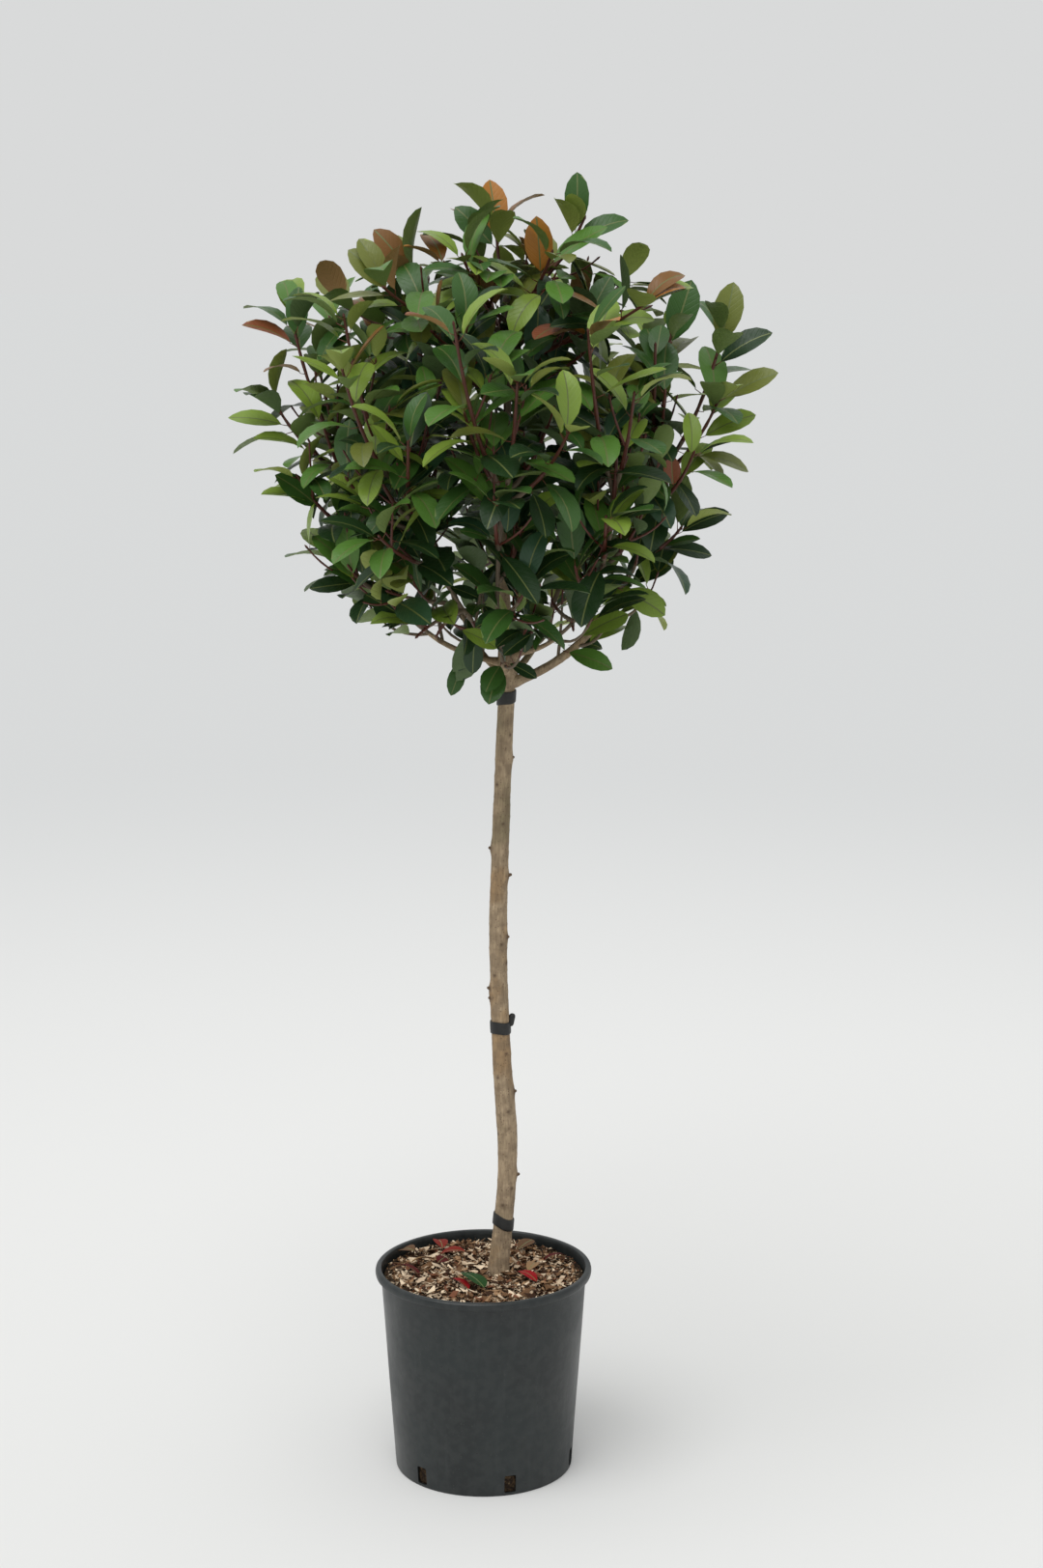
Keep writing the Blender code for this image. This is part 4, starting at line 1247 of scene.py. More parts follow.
def tube(path, radii, sides):
    """The points and faces of a closed tapering tube along a path."""
    points = []
    faces = []
    across = None
    for i, centre in enumerate(path):
        along = (path[min(i + 1, len(path) - 1)] - path[max(i - 1, 0)]).normalized()
        if across is None:
            across = along.orthogonal()
        across = (across - along * across.dot(along)).normalized()
        beside = along.cross(across)
        for side in range(sides):
            turn = math.tau * side / sides
            points.append(centre + radii[i] * (math.cos(turn) * across + math.sin(turn) * beside))
    for i in range(len(path) - 1):
        for side in range(sides):
            after = (side + 1) % sides
            low = i * sides
            faces.append((low + side, low + after, low + sides + after, low + sides + side))
    faces.append(tuple(reversed(range(sides))))
    faces.append(tuple(range(len(points) - sides, len(points))))
    return points, faces


def ring_places(length, seed):
    """Where the old bud rings lie along a limb, unevenly spaced."""
    chance = random.Random(seed)
    places = [0.0]
    while places[-1] < length:
        places.append(places[-1] + chance.uniform(*RING_GAPS))
    return places


def bark_limb(path, radii, sides, seed, marks=(), quiet=()):
    """A limb with bark in relief: fissures, lumps, bud rings, and the collars of cut shoots.

    marks are (place, radius, height) of bumps, and quiet the heights where ties keep the bark smooth.
    """
    points, faces = tube(path, radii, sides)
    travelled = [0.0]
    for low, high in zip(path, path[1:]):
        travelled.append(travelled[-1] + (high - low).length)
    rings = ring_places(travelled[-1], seed)
    shift = SEED_SHIFT * seed
    reliefs = []
    scars = []
    moved = []
    for number, point in enumerate(points):
        ring = number // sides
        turn = math.tau * (number % sides) / sides
        girth = Vector((math.cos(turn), math.sin(turn), 0.0)) * radii[ring]
        at = girth + UP * travelled[ring] + shift
        fissure = noise.fractal(scaled(at, FISSURE_FINENESS), *FISSURE_SHAPE)
        lump = noise.noise(at * LUMP_FINENESS)
        wave = noise.noise(at * WAVE_FINENESS)
        nearest = bisect.bisect(rings, travelled[ring])
        gap = min(abs(travelled[ring] - rings[k]) for k in (nearest - 1, min(nearest, len(rings) - 1)))
        band = bell(gap + RING_SWAY * noise.noise(at * RING_FINENESS), RING_WIDTH)
        calm = 1.0
        for height in quiet:
            calm -= TIE_CALM * bell(point.z - height, TIE_CALM_WIDTH)
        size = min(radii[ring] / FULL_RELIEF_RADIUS, 1.0)
        rise = size * (FISSURE_RISE * fissure + LUMP_RISE * lump + WAVE_RISE * wave + RING_RISE * band)
        scar = 0.0
        for place, reach, height in marks:
            distance = (point - place).length
            if distance < 3 * reach:
                rise += height * bell(distance, reach)
                scar = max(scar, bell(distance, reach * MARK_CORE))
        away = (point - path[ring]).normalized()
        moved.append(point + away * rise * max(calm, LEAST_RELIEF))
        shade = 0.5 + fissure * FISSURE_SHADE + lump * LUMP_SHADE - band * RING_SHADE
        reliefs.append(min(max(shade, 0.0), 1.0))
        scars.append(scar)
    return moved, faces, reliefs, scars


def bark_object(name, limb, bark, stubs=()):
    """A limb and its stubs as one piece, with its relief and scars stored for the material."""
    points, faces, reliefs, scars = (list(part) for part in limb)
    for stub_points, stub_faces in stubs:
        start = len(points)
        points += stub_points
        faces += [tuple(start + corner for corner in face) for face in stub_faces]
        reliefs += [STUB_RELIEF] * len(stub_points)
        scars += [STUB_SCAR] * len(stub_points)
    piece = mesh_object(name, points, faces, [bark])
    write_values(piece.data, "relief", "FLOAT", "POINT", reliefs)
    write_values(piece.data, "scar", "FLOAT", "POINT", scars)
    return piece


def domed(path, radii, along):
    """Close a tube with a rounded end."""
    end = path[-1]
    last = radii[-1]
    path = path + [end + along * last * rise for rise, _ in DOME]
    radii = radii + [last * width for _, width in DOME]
    return path, radii


def build_trunk(bark):
    """The trunk from inside the mulch to its pruned head, with stubs and scars of cut side shoots."""
    path = trunk_path(TRUNK_RINGS)
    path.insert(0, path[0] - UP * TRUNK_SUNK)
    radii = [trunk_radius(max(point.z, TRUNK_FOOT)) for point in path]
    marks = []
    stubs = []
    for azimuth, height, length in STUBS:
        away = outward(math.radians(azimuth))
        root = trunk_centre(height) + away * trunk_radius(height)
        marks.append((root, COLLAR_RADIUS, COLLAR_HEIGHT))
        way = (away + STUB_RISE * UP).normalized()
        line = [root - way * STUB_SUNK, root + way * length * 0.5, root + way * length]
        line, sizes = domed(line, [STUB_RADIUS * share for share in STUB_TAPER], way)
        stubs.append(tube(line, sizes, STUB_SIDES))
    for azimuth, height in SCARS:
        root = trunk_centre(height) + outward(math.radians(azimuth)) * trunk_radius(height)
        marks.append((root, SCAR_RADIUS, SCAR_HEIGHT))
    chance = random.Random(HEAD_SEED)
    for k in range(HEAD_KNOBS):
        height = chance.uniform(HEAD_KNOBS_FROM, TRUNK_TOP)
        root = trunk_centre(height) + outward(k * GOLDEN_ANGLE) * trunk_radius(height)
        marks.append((root, chance.uniform(*HEAD_KNOB_RADII), chance.uniform(*HEAD_KNOB_HEIGHTS)))
    path, radii = domed(path, radii, UP)
    limb = bark_limb(path, radii, TRUNK_SIDES, TRUNK_SEED, marks, [height for _, height, _ in TIES])
    declare(bark_object("trunk_bark", limb, bark, stubs), "bark", "trunk")


def bough_path(azimuth, start, reach, height, count):
    """A bough's centre line: level at first, then bending up to its tip."""
    root = trunk_centre(start)
    tip = root + outward(math.radians(azimuth)) * reach
    tip.z = height
    knee = root + outward(math.radians(azimuth)) * reach * LIMB_CURVE_REACH
    knee.z = start + (height - start) * LIMB_CURVE_RISE
    return [bezier((root, knee, tip), step / count) for step in range(count + 1)]


def build_limb(name, path, root_radius, collar, seed, bark, node):
    """A tapering limb with a swollen collar where it leaves the trunk."""
    last = len(path) - 1
    start = trunk_radius(min(path[0].z, TRUNK_TOP))
    radii = []
    for i, point in enumerate(path):
        taper = root_radius * (1 + (LIMB_TIP_SHARE - 1) * i / last)
        away = max((point - path[0]).length - start, 0.0)
        radii.append(taper * (1 + collar * bell(away, COLLAR_SPREAD)))
    chance = random.Random(seed)
    marks = []
    for _ in range(int(last / LIMB_MARK_EVERY)):
        i = chance.randrange(last // 3, last)
        side = outward(chance.uniform(0, math.tau))
        marks.append((path[i] + side * radii[i], LIMB_MARK_RADIUS, LIMB_MARK_HEIGHT))
    limb = bark_limb(path, radii, LIMB_SIDES, seed, marks)
    declare(bark_object(name, limb, bark), "bark", node)


def tie_section():
    """How far out and up each point of a tie's rounded section is."""
    section = []
    for k in range(TIE_SECTION_SIDES):
        turn = math.tau * k / TIE_SECTION_SIDES
        wide, tall = (
            math.copysign(abs(part) ** power, part)
            for part, power in zip((math.cos(turn), math.sin(turn)), TIE_SQUARENESS)
        )
        section.append(((wide + 1) / 2 * TIE_THICKNESS - TIE_SUNK, tall * TIE_HEIGHT / 2))
    return section


def build_knot(height, rubber):
    """The knot on a tie's right side."""
    inner = trunk_radius(height) + TIE_THICKNESS
    place = trunk_centre(height) + Vector((inner + KNOT_SIZE[0] / 2 - KNOT_SUNK, 0.0, KNOT_LIFT))
    knot = rounded_box("tie_knot", KNOT_SIZE, place, Matrix.Rotation(KNOT_TILT, 3, "Y"), KNOT_ROUND)
    # Without a seed this noise differs from run to run.
    noise.seed_set(KNOT_SEED)
    for point in knot.data.vertices:
        point.co += KNOT_LUMPS * noise.noise_vector(point.co * KNOT_LUMP_FINENESS)
    knot.data.materials.append(rubber)
    knot.data.shade_smooth()
    declare(knot, "tie_rubber")


def build_tie(name, height, slant, rubber):
    """A soft band round the trunk with rounded edges, higher on one side by its slant."""
    section = tie_section()
    points = []
    faces = []
    for side in range(TIE_TURNS):
        turn = math.tau * side / TIE_TURNS
        level = Vector((math.cos(turn), math.sin(turn), 0.0))
        droop = TIE_SWAY * math.sin(TIE_WAVES * turn + height * TIE_WAVE_SHIFT)
        for out, lift in section:
            at = height + lift + droop + slant * trunk_radius(height) * level.x
            points.append(trunk_centre(at) + level * (trunk_radius(at) + out))
    count = len(section)
    for side in range(TIE_TURNS):
        low = side * count
        high = (side + 1) % TIE_TURNS * count
        for k in range(count):
            after = (k + 1) % count
            faces.append((low + k, high + k, high + after, low + after))
    piece = mesh_object(f"{name}_band", points, faces, [rubber])
    outward_faces(piece)
    declare(piece, "tie_rubber", name)
    if name == "tie_middle":
        build_knot(height, rubber)


def mass_centres():
    """The middle of each mass's space: a ring of eight round the crown's axis, and one on top."""
    centres = {"top": Vector((CROWN_CENTRE.x, CROWN_CENTRE.y, TOP_MASS_HEIGHT))}
    for k, name in enumerate(BOUGHS):
        centre = CROWN_CENTRE + outward(k * math.tau / len(BOUGHS)) * MASS_REACH
        centre.z = MASS_HEIGHT
        centres[name] = centre
    return centres


def in_space(point, own, others, margin):
    """Whether a point is nearer to its own mass's middle than to any other's, by the margin."""
    for other in others:
        apart = other - own
        if (point - (own + other) / 2).dot(apart.normalized()) > -margin:
            return False
    return True


def crown_reach(height):
    """How far from the crown's axis leaves may reach at a height."""
    for (low, near), (high, far) in zip(CROWN_PROFILE, CROWN_PROFILE[1:]):
        if low <= height <= high:
            return near + (far - near) * (height - low) / (high - low)
    return 0.0


def in_outline(point, extra=0.0):
    """Whether a point is within the crown's profile, widened by the extra, and within its furthest reach."""
    across = math.hypot(point.x - PROFILE_CENTRE_X, point.y)
    if across > crown_reach(point.z) + extra:
        return False
    return all(low < value < high for low, value, high in zip(REACH_LOW, point, REACH_HIGH))


def spread_tips():
    """Tips evenly spread over each layer by the golden angle, each a little in or out of it."""
    tips = []
    for count, share, lowest in SPREADS:
        for k in range(count):
            chance = random.Random(100 * count + k)
            cosine = 1 - (k + 0.5) / count * (1 - math.cos(lowest))
            sine = math.sqrt(1 - cosine**2)
            level = outward(k * GOLDEN_ANGLE)
            way = Vector((level.x * sine, level.y * sine, cosine))
            reach = share + chance.uniform(-SPREAD_JITTER, SPREAD_JITTER)
            tip = CROWN_CENTRE + scaled(way, SPREAD_REACH) * reach
            for _ in range(DRAW_TRIES):
                if in_outline(tip, -TIP_MARGIN):
                    break
                tip = CROWN_CENTRE.lerp(tip, DRAW_IN)
            tips.append(tip)
    return tips


def shoot_tips():
    """Where every shoot ends: those that stand out, then the even spread with none too near them."""
    tips = list(LEADING_PLACES)
    for tip in spread_tips():
        if all((tip - other).length > SHOOT_SPACING for other in LEADING_PLACES):
            tips.append(tip)
    return tips


def extra_reach(tip):
    """How much further than the profile the leaves of the shoot with this tip may reach."""
    if tip in LEADING_PLACES:
        return LEADING_REACH
    return HANGING_REACH if tip in HANGING_PLACES else 0.0


def shoot_path(stem, tip, own, others, count):
    """A shoot's centre line from its place on the stem: outward at first, then bending up to its tip."""
    share = (tip.z - stem[0].z) / (stem[-1].z + STEM_OVER - stem[0].z)
    root = bezier(stem, min(max(share, STEM_SHARES[0]), STEM_SHARES[1]))
    knee = root.lerp(tip, SHOOT_REACH_FIRST)
    knee.z = root.z + (tip.z - root.z) * SHOOT_RISE_LATE
    for _ in range(KNEE_TRIES):
        if in_space(knee, own, others, KNEE_MARGIN):
            break
        knee = knee.lerp((root + tip) / 2, 0.5)
    return [bezier((root, knee, tip), step / count) for step in range(count + 1)]


def leaf_frame(axis, roll, angle):
    """A leaf's direction and upper side, from its shoot's direction, its turn round it and its spread."""
    side = axis.orthogonal().normalized()
    side = Matrix.Rotation(roll, 3, axis) @ side
    along = (axis * math.cos(angle) + side * math.sin(angle) - UP * LEAF_SAG).normalized()
    upper = axis.lerp(UP, LEAF_FACING_UP)
    upper = (upper - along * upper.dot(along)).normalized()
    return along, upper


def leaf_places(path, chance):
    """(place, direction, turn, spread, size, share) of each leaf wanted on a shoot, tip first."""
    length = sum((b - a).length for a, b in zip(path, path[1:]))
    count = max(int(length * (1 - LEAF_START) / LEAF_SPACING), 1)
    turn = chance.uniform(0, math.tau)
    last = len(path) - 1
    for k in range(count + TIP_LEAVES):
        if k < TIP_LEAVES:
            share = 0.99 - TIP_LEAF_STEP * k
        else:
            share = 1.0 - (k - TIP_LEAVES + 1) / count * (1 - LEAF_START)
        at = min(share * last, last - 0.001)
        span = int(at)
        place = path[span].lerp(path[span + 1], at - span)
        axis = (path[span + 1] - path[span]).normalized()
        angle = LEAF_ANGLE_LOW + (LEAF_ANGLE_TIP - LEAF_ANGLE_LOW) * max(share - 0.5, 0) * 2
        size = chance.uniform(*LEAF_SIZES)
        turn += GOLDEN_ANGLE
        yield place, axis, turn, angle, size, share


def blade_way(form, at):
    """The midrib's direction at a share of its length, and how far it turns aside."""
    arch, _, bend, _, _ = form
    pitch = arch * (LEAF_LEVEL_AT - at)
    yaw = bend * (at - LEAF_STRAIGHT_AT)
    return Vector((math.cos(pitch) * math.cos(yaw), math.sin(yaw), math.sin(pitch))), yaw


def blade_line(form, at):
    """The midrib's place and the blade's across and upper directions, at a share of its length."""
    step = at / LEAF_LINE_STEPS
    place = Vector((PETIOLE, 0.0, 0.0))
    for k in range(LEAF_LINE_STEPS):
        place += blade_way(form, (k + 0.5) / LEAF_LINE_STEPS * at)[0] * step
    along, yaw = blade_way(form, at)
    along = along.normalized()
    twist = Matrix.Rotation(form[3] * (at - LEAF_UNTWISTED_AT), 3, along)
    across = twist @ Vector((-math.sin(yaw), math.cos(yaw), 0.0))
    return place, across.normalized(), along.cross(across).normalized()


def leaf_form(number, form):
    """One leaf, a unit long: a folded arching blade with its own outline, a midrib and a stalk."""
    _, fold, _, _, half = form
    points = []
    faces = []
    kinds = []
    flat = []

    def add(place, u, v):
        points.append(place)
        flat.append((u, v))
        return len(points) - 1

    root = add(blade_line(form, 0.0)[0], 0.0, 0.5)
    tops = []
    lows = []
    for at, share in LEAF_OUTLINE:
        place, across, upper = blade_line(form, at)
        wide = half * share
        rib = min(LEAF_RIB * half, wide * LEAF_RIB_SHARE)
        cup = wide * LEAF_CUP
        row = []
        for v in (-wide, -cup, -rib, rib, cup, wide):
            lift = fold * (abs(v) - LEAF_FOLD_EASE * v * v / half) - LEAF_GROOVE * (abs(v) == rib)
            row.append(add(place + across * v + upper * lift, at, 0.5 + v / half / 2))
        tops.append(row)
        lows.append((row[0], add(place - upper * LEAF_THICKNESS, at, 0.5), row[-1]))
    tip = add(blade_line(form, 1.0)[0], 1.0, 0.5)
    for column, kind in enumerate((BLADE, BLADE, RIB, BLADE, BLADE)):
        faces.append((root, tops[0][column], tops[0][column + 1]))
        faces.append((tops[-1][column], tip, tops[-1][column + 1]))
        kinds += [kind, kind]
        for near, far in zip(tops, tops[1:]):
            faces.append((near[column], far[column], far[column + 1], near[column + 1]))
            kinds.append(kind)
    for side in range(2):
        faces.append((root, lows[0][side + 1], lows[0][side]))
        faces.append((lows[-1][side + 1], tip, lows[-1][side]))
        kinds += [UNDERSIDE, UNDERSIDE]
        for near, far in zip(lows, lows[1:]):
            faces.append((near[side + 1], far[side + 1], far[side], near[side]))
            kinds.append(UNDERSIDE)
    ends = [Vector((x, 0.0, z)) for x, z in zip((0.0, PETIOLE * STALK_OVERLAP), STALK_DROPS)]
    stalk_points, stalk_faces = tube(ends, [PETIOLE_RADIUS, PETIOLE_RADIUS * 0.6], 3)
    start = len(points)
    for place in stalk_points:
        add(place, 0.0, 0.5)
    faces += [tuple(start + corner for corner in face) for face in stalk_faces]
    kinds += [STALK] * len(stalk_faces)
    mesh = bpy.data.meshes.new(f"leaf_form_{number}")
    mesh.from_pydata(as_tuples(points), [], faces)
    work = bmesh.new()
    work.from_mesh(mesh)
    bmesh.ops.recalc_face_normals(work, faces=work.faces)
    work.to_mesh(mesh)
    work.free()
    write_values(mesh, "part", "INT", "FACE", kinds)
    layer = mesh.uv_layers.new(name="blade")
    for loop in mesh.loops:
        layer.data[loop.index].uv = flat[loop.vertex_index]
    mesh.shade_smooth()
    rim = set()
    for side in (0, -1):
        line = [root, *(row[side] for row in tops), tip]
        rim |= {frozenset(pair) for pair in zip(line, line[1:])}
    for edge in mesh.edges:
        edge.use_edge_sharp = frozenset(edge.vertices) in rim
    return bpy.data.objects.new(mesh.name, mesh)


def leaf_stand_in(form):
    """A few corners of a leaf form, a unit long, to see what it would touch."""
    _, fold, _, _, half = form
    corners = [blade_line(form, 0.0)[0]]
    for at in STAND_IN_AT:
        place, across, upper = blade_line(form, at)
        for v in (-half * STAND_IN_WIDTH, half * STAND_IN_WIDTH):
            corners.append(place + across * v + upper * fold * abs(v) * STAND_IN_FOLD)
    corners.append(blade_line(form, 1.0)[0])
    return corners


STAND_IN_FACES = ((0, 1, 2), (1, 3, 4, 2), (3, 5, 4))
STAND_INS = [leaf_stand_in(form) for form in LEAF_FORMS]


def facing(along, upper):
    """The turn that brings a leaf form's length and upper side to these directions."""
    across = upper.cross(along).normalized()
    upper = along.cross(across).normalized()
    return Matrix((along, across, upper)).transposed()


def placed(form, turn, place, size):
    return [place + turn @ (corner * size) for corner in STAND_INS[form]]


def cells_near(point):
    """The cells of space round a point, its own first."""
    own = [math.floor(part / LEAF_CELL) for part in point]
    for x in (0, -1, 1):
        for y in (0, -1, 1):
            for z in (0, -1, 1):
                yield (own[0] + x, own[1] + y, own[2] + z)


def touches(tree, middle, limbs, taken):
    """Whether a leaf would touch a limb, or another leaf near it."""
    if any(tree.overlap(limb) for limb in limbs):
        return True
    return any(tree.overlap(other) for cell in cells_near(middle) for other in taken.get(cell, ()))


def take(tree, middle, taken):
    taken.setdefault(next(cells_near(middle)), []).append(tree)


def leaf_tint(chance, share, spray, place):
    """The tint of a leaf, from its spray's own, its place on the shoot and how far out it is. Darker tints
    low and deep in the crown are painted shade, and brighter tints high and far out are painted light.
    """
    draw = chance.random()
    freshness = TIP_FRESHNESS if share > TIP_SHARE else 1.0
    if share > BRONZE_SHARE and draw < spray["bronze"]:
        mix = "bronze"
    elif draw < spray["bronze"] * BRONZE_LOW_CHANCE + spray["fresh"] * freshness:
        mix = "fresh"
    # Older leaves are darker. The darker tints low and near the crown's middle are painted shade.
    elif share < OLD_SHARE or place.z < SHADE_PAINTED_BELOW or (place - CROWN_CENTRE).length < SHADE_PAINTED_WITHIN:
        mix = "inner"
    # Brighter tints high up and far out are painted light.
    elif place.z > LIGHT_PAINTED_ABOVE:
        mix = "high"
    elif math.hypot(place.x - CROWN_CENTRE.x, place.y) > LIGHT_PAINTED_BEYOND:
        mix = "outer"
    else:
        mix = "common"
    return chance.choice(TINT_MIXES[mix])


def spray_character(seed, tip):
    """How likely a shoot's leaves are fresh or bronzed. The highest and outermost young ones are most so. Far
    out, the fresh tint is also a painted glow of light through the leaves.
    """
    chance = random.Random(seed)
    high = min(max((tip.z - YOUNG_HEIGHT) / YOUNG_HEIGHT_SPAN, 0.0), 1.0)
    outer = min(max(((tip - CROWN_CENTRE).length - YOUNG_REACH) / YOUNG_REACH_SPAN, 0.0), 1.0)
    return {
        # Freshness far out is partly young growth and partly a painted glow of light through the leaves.
        "fresh": chance.choice(FRESH_CHANCES) * (INNER_FRESHNESS + OUTER_FRESHNESS_AND_GLOW * outer),
        "bronze": chance.choice(BRONZE_CHANCES) * high,
    }


def grow_leaves(path, seed, spray, own, others, limbs, taken, extra=0.0):
    """The leaves of one shoot or twig that keep to the mass's space and clear of other leaves."""
    grown = []
    chance = random.Random(seed)
    for place, axis, turn, angle, size, share in leaf_places(path, chance):
        form = chance.randrange(COMMON_FORMS)
        tint = leaf_tint(chance, share, spray, place)
        for attempt in range(LEAF_TRIES):
            swing = attempt * LEAF_SWING * (-1) ** attempt
            along, upper = leaf_frame(axis, turn + swing, angle)
            fitted = LEAF_LENGTH * size * LEAF_SHRINK ** (attempt // 3)
            face = facing(along, upper)
            corners = placed(form, face, place, fitted)
            if not all(
                in_space(point, own, others, -SPACE_SLACK) and in_outline(point, extra) for point in corners
            ):
                continue
            tree = BVHTree.FromPolygons(as_tuples(corners), STAND_IN_FACES)
            middle = (corners[0] + corners[-1]) / 2
            if touches(tree, middle, limbs, taken):
                continue
            take(tree, middle, taken)
            grown.append((place, tuple(face.to_euler()), fitted, form, TINT_NAMES.index(tint)))
            break
    return grown


def side_twigs(path, seed, own, others, shares, angle, climb, lengths):
    """The finer twigs of a shoot or bough, which rise out of it and stay within the crown's reach."""
    chance = random.Random(seed)
    turn = chance.uniform(0, math.tau)
    last = len(path) - 1
    for share in shares:
        share += chance.uniform(-TWIG_SHARE_JITTER, TWIG_SHARE_JITTER)
        turn += GOLDEN_ANGLE
        length = chance.uniform(*lengths)
        span = int(share * last)
        root = path[span].lerp(path[span + 1], share * last - span)
        axis = (path[span + 1] - path[span]).normalized()
        side = Matrix.Rotation(turn, 3, axis) @ axis.orthogonal().normalized()
        way = (axis * math.cos(angle) + side * math.sin(angle)).normalized()
        knee = root + way * length * TWIG_KNEE
        tip = root + (way + UP * climb).normalized() * length
        away = Vector(a / b for a, b in zip(tip - CROWN_CENTRE, SPREAD_REACH))
        if away.length > TWIG_REACH or not in_outline(tip) or not in_space(tip, own, others, 0.0):
            continue
        yield [bezier((root, knee, tip), step / TWIG_STEPS) for step in range(TWIG_STEPS + 1)]


def with_bud(path, radii):
    """End a shoot with its pointed bud."""
    along = (path[-1] - path[-2]).normalized()
    return (
        path + [path[-1] + along * BUD_LENGTH * rise for rise, _ in BUD_SHARES],
        radii + [radii[-1] * share for _, share in BUD_SHARES],
    )


def shoot_line(path, first, last_radius, young_from):
    """A shoot's points with their radii, swollen at the nodes, and which are young wood."""
    last = len(path) - 1
    radii = []
    for i in range(last + 1):
        radius = first + (last_radius - first) * i / last
        radii.append(radius * (NODE_SWELL if i % 2 else 1.0))
    young = [1 if i / last >= young_from else 0 for i in range(last + 1)]
    path, radii = with_bud(path, radii)
    return path, radii, young + [1] * (len(path) - len(young))


def fixed_leaf(foot, tip, upper, form, tint, taken):
    """A leaf between two given places, entered among those that take up space."""
    along = (tip - foot).normalized()
    upper = (upper - along * upper.dot(along)).normalized()
    face = facing(along, upper)
    reach = STAND_INS[form][-1]
    size = (tip - foot).length / reach.length
    face = (face @ reach).rotation_difference(along).to_matrix() @ face
    corners = placed(form, face, foot, size)
    tree = BVHTree.FromPolygons(as_tuples(corners), STAND_IN_FACES)
    take(tree, (corners[0] + corners[-1]) / 2, taken)
    return foot, tuple(face.to_euler()), size, form, TINT_NAMES.index(tint)


def leading_shoots(shoots):
    """The shoots that end at a given tip, each with its mass."""
    given = LEADING_PLACES + HANGING_PLACES
    return [
        (name, path)
        for name, paths in shoots.items()
        for path in paths
        if any((path[-1] - tip).length < SAME_POINT for tip in given)
    ]


def add_leading_leaves(shoots, taken):
    """The leaves whose tips stand out in the outline, each from the leading shoot nearest to it."""
    found = {name: [] for name in shoots}
    chance = random.Random(LEADING_SEED)
    leading = leading_shoots(shoots)
    eye = Vector(CAMERA_PLACE)
    for number, (x, z, tint) in enumerate(LEADING_LEAVES):
        name, path = min(leading, key=lambda entry: math.hypot(entry[1][-1].x - x, entry[1][-1].z - z))
        depth = path[-1].y + chance.uniform(-LEADING_DEPTH, LEADING_DEPTH)
        target = eye + (Vector((x, 0.0, z)) - eye) * (depth - eye.y) / -eye.y
        root = path[-1]
        for point in reversed(path[len(path) // 2 :]):
            root = point
            if (target - point).length > LEAF_LENGTH:
                break
        form = chance.choice(LEVEL_FORMS)
        rise = max((target - root).normalized().z, 0.0)
        aside = chance.uniform(-LEADING_ASIDE, LEADING_ASIDE)
        upper = Vector((aside, chance.uniform(*LEADING_FRONT) - LEADING_RISEN_FRONT * rise, 1.0))
        if number in EDGE_ON_LEAVES:
            upper.y = EDGE_ON_TURN
        found[name].append(fixed_leaf(root, target, upper, form, tint, taken))
    for name, foot, tip, tint, form in FIXED_LEAVES:
        upper = Vector((0.0, -FIXED_TURN, 1.0))
        found[name].append(fixed_leaf(Vector(foot), Vector(tip), upper, form, tint, taken))
    return found


def crown_limbs():
    """Where each mass starts, which way and how thick, and the limbs that leaves keep clear of."""
    trunk = trunk_path(ROUGH_TRUNK_STEPS)
    shapes = [tube(trunk, [trunk_radius(point.z) for point in trunk], ROUGH_TRUNK_SIDES)]
    lines = {
        name: (bough_path(azimuth, start, reach, height, ROUGH_STEPS), radius)
        for name, (azimuth, start, radius, reach, height) in BOUGHS.items()
    }
    lines["top"] = (leader_path(ROUGH_STEPS), LEADER_RADIUS)
    ends = {}
    for name, (path, radius) in lines.items():
        ends[name] = (path[-1], (path[-1] - path[-2]).normalized(), radius * LIMB_TIP_SHARE)
        shapes.append(tube(path, [radius + LIMB_CLEARANCE] * len(path), ROUGH_SIDES))
    return ends, [BVHTree.FromPolygons(as_tuples(points), faces) for points, faces in shapes]


def crown_shoots(spaces, ends):
    """The points that steer each mass's stem, and its shoots."""
    tips = shoot_tips()
    stems = {}
    shoots = {}
    for name, (own, others) in spaces.items():
        foot, along, _ = ends[name]
        stems[name] = (foot, foot + along * (own - foot).length / 2, own)
        mine = [tip for tip in tips if in_space(tip, own, others, 0.0)]
        mine += [Vector(tip) for tip in HANGING_TIPS.get(name, ())]
        shoots[name] = [shoot_path(stems[name], tip, own, others, SHOOT_STEPS) for tip in mine]
    return stems, shoots


def stem_line(stem, along, width):
    """A mass's stem, from just inside its bough's tip."""
    points = [stem[0] - along * STEM_SUNK] + [bezier(stem, k / STEM_STEPS) for k in range(STEM_STEPS + 1)]
    radii = [width + (SHOOT_RADIUS - width) * k / (STEM_STEPS + 1) for k in range(STEM_STEPS + 2)]
    return points, radii, [0] * len(points)


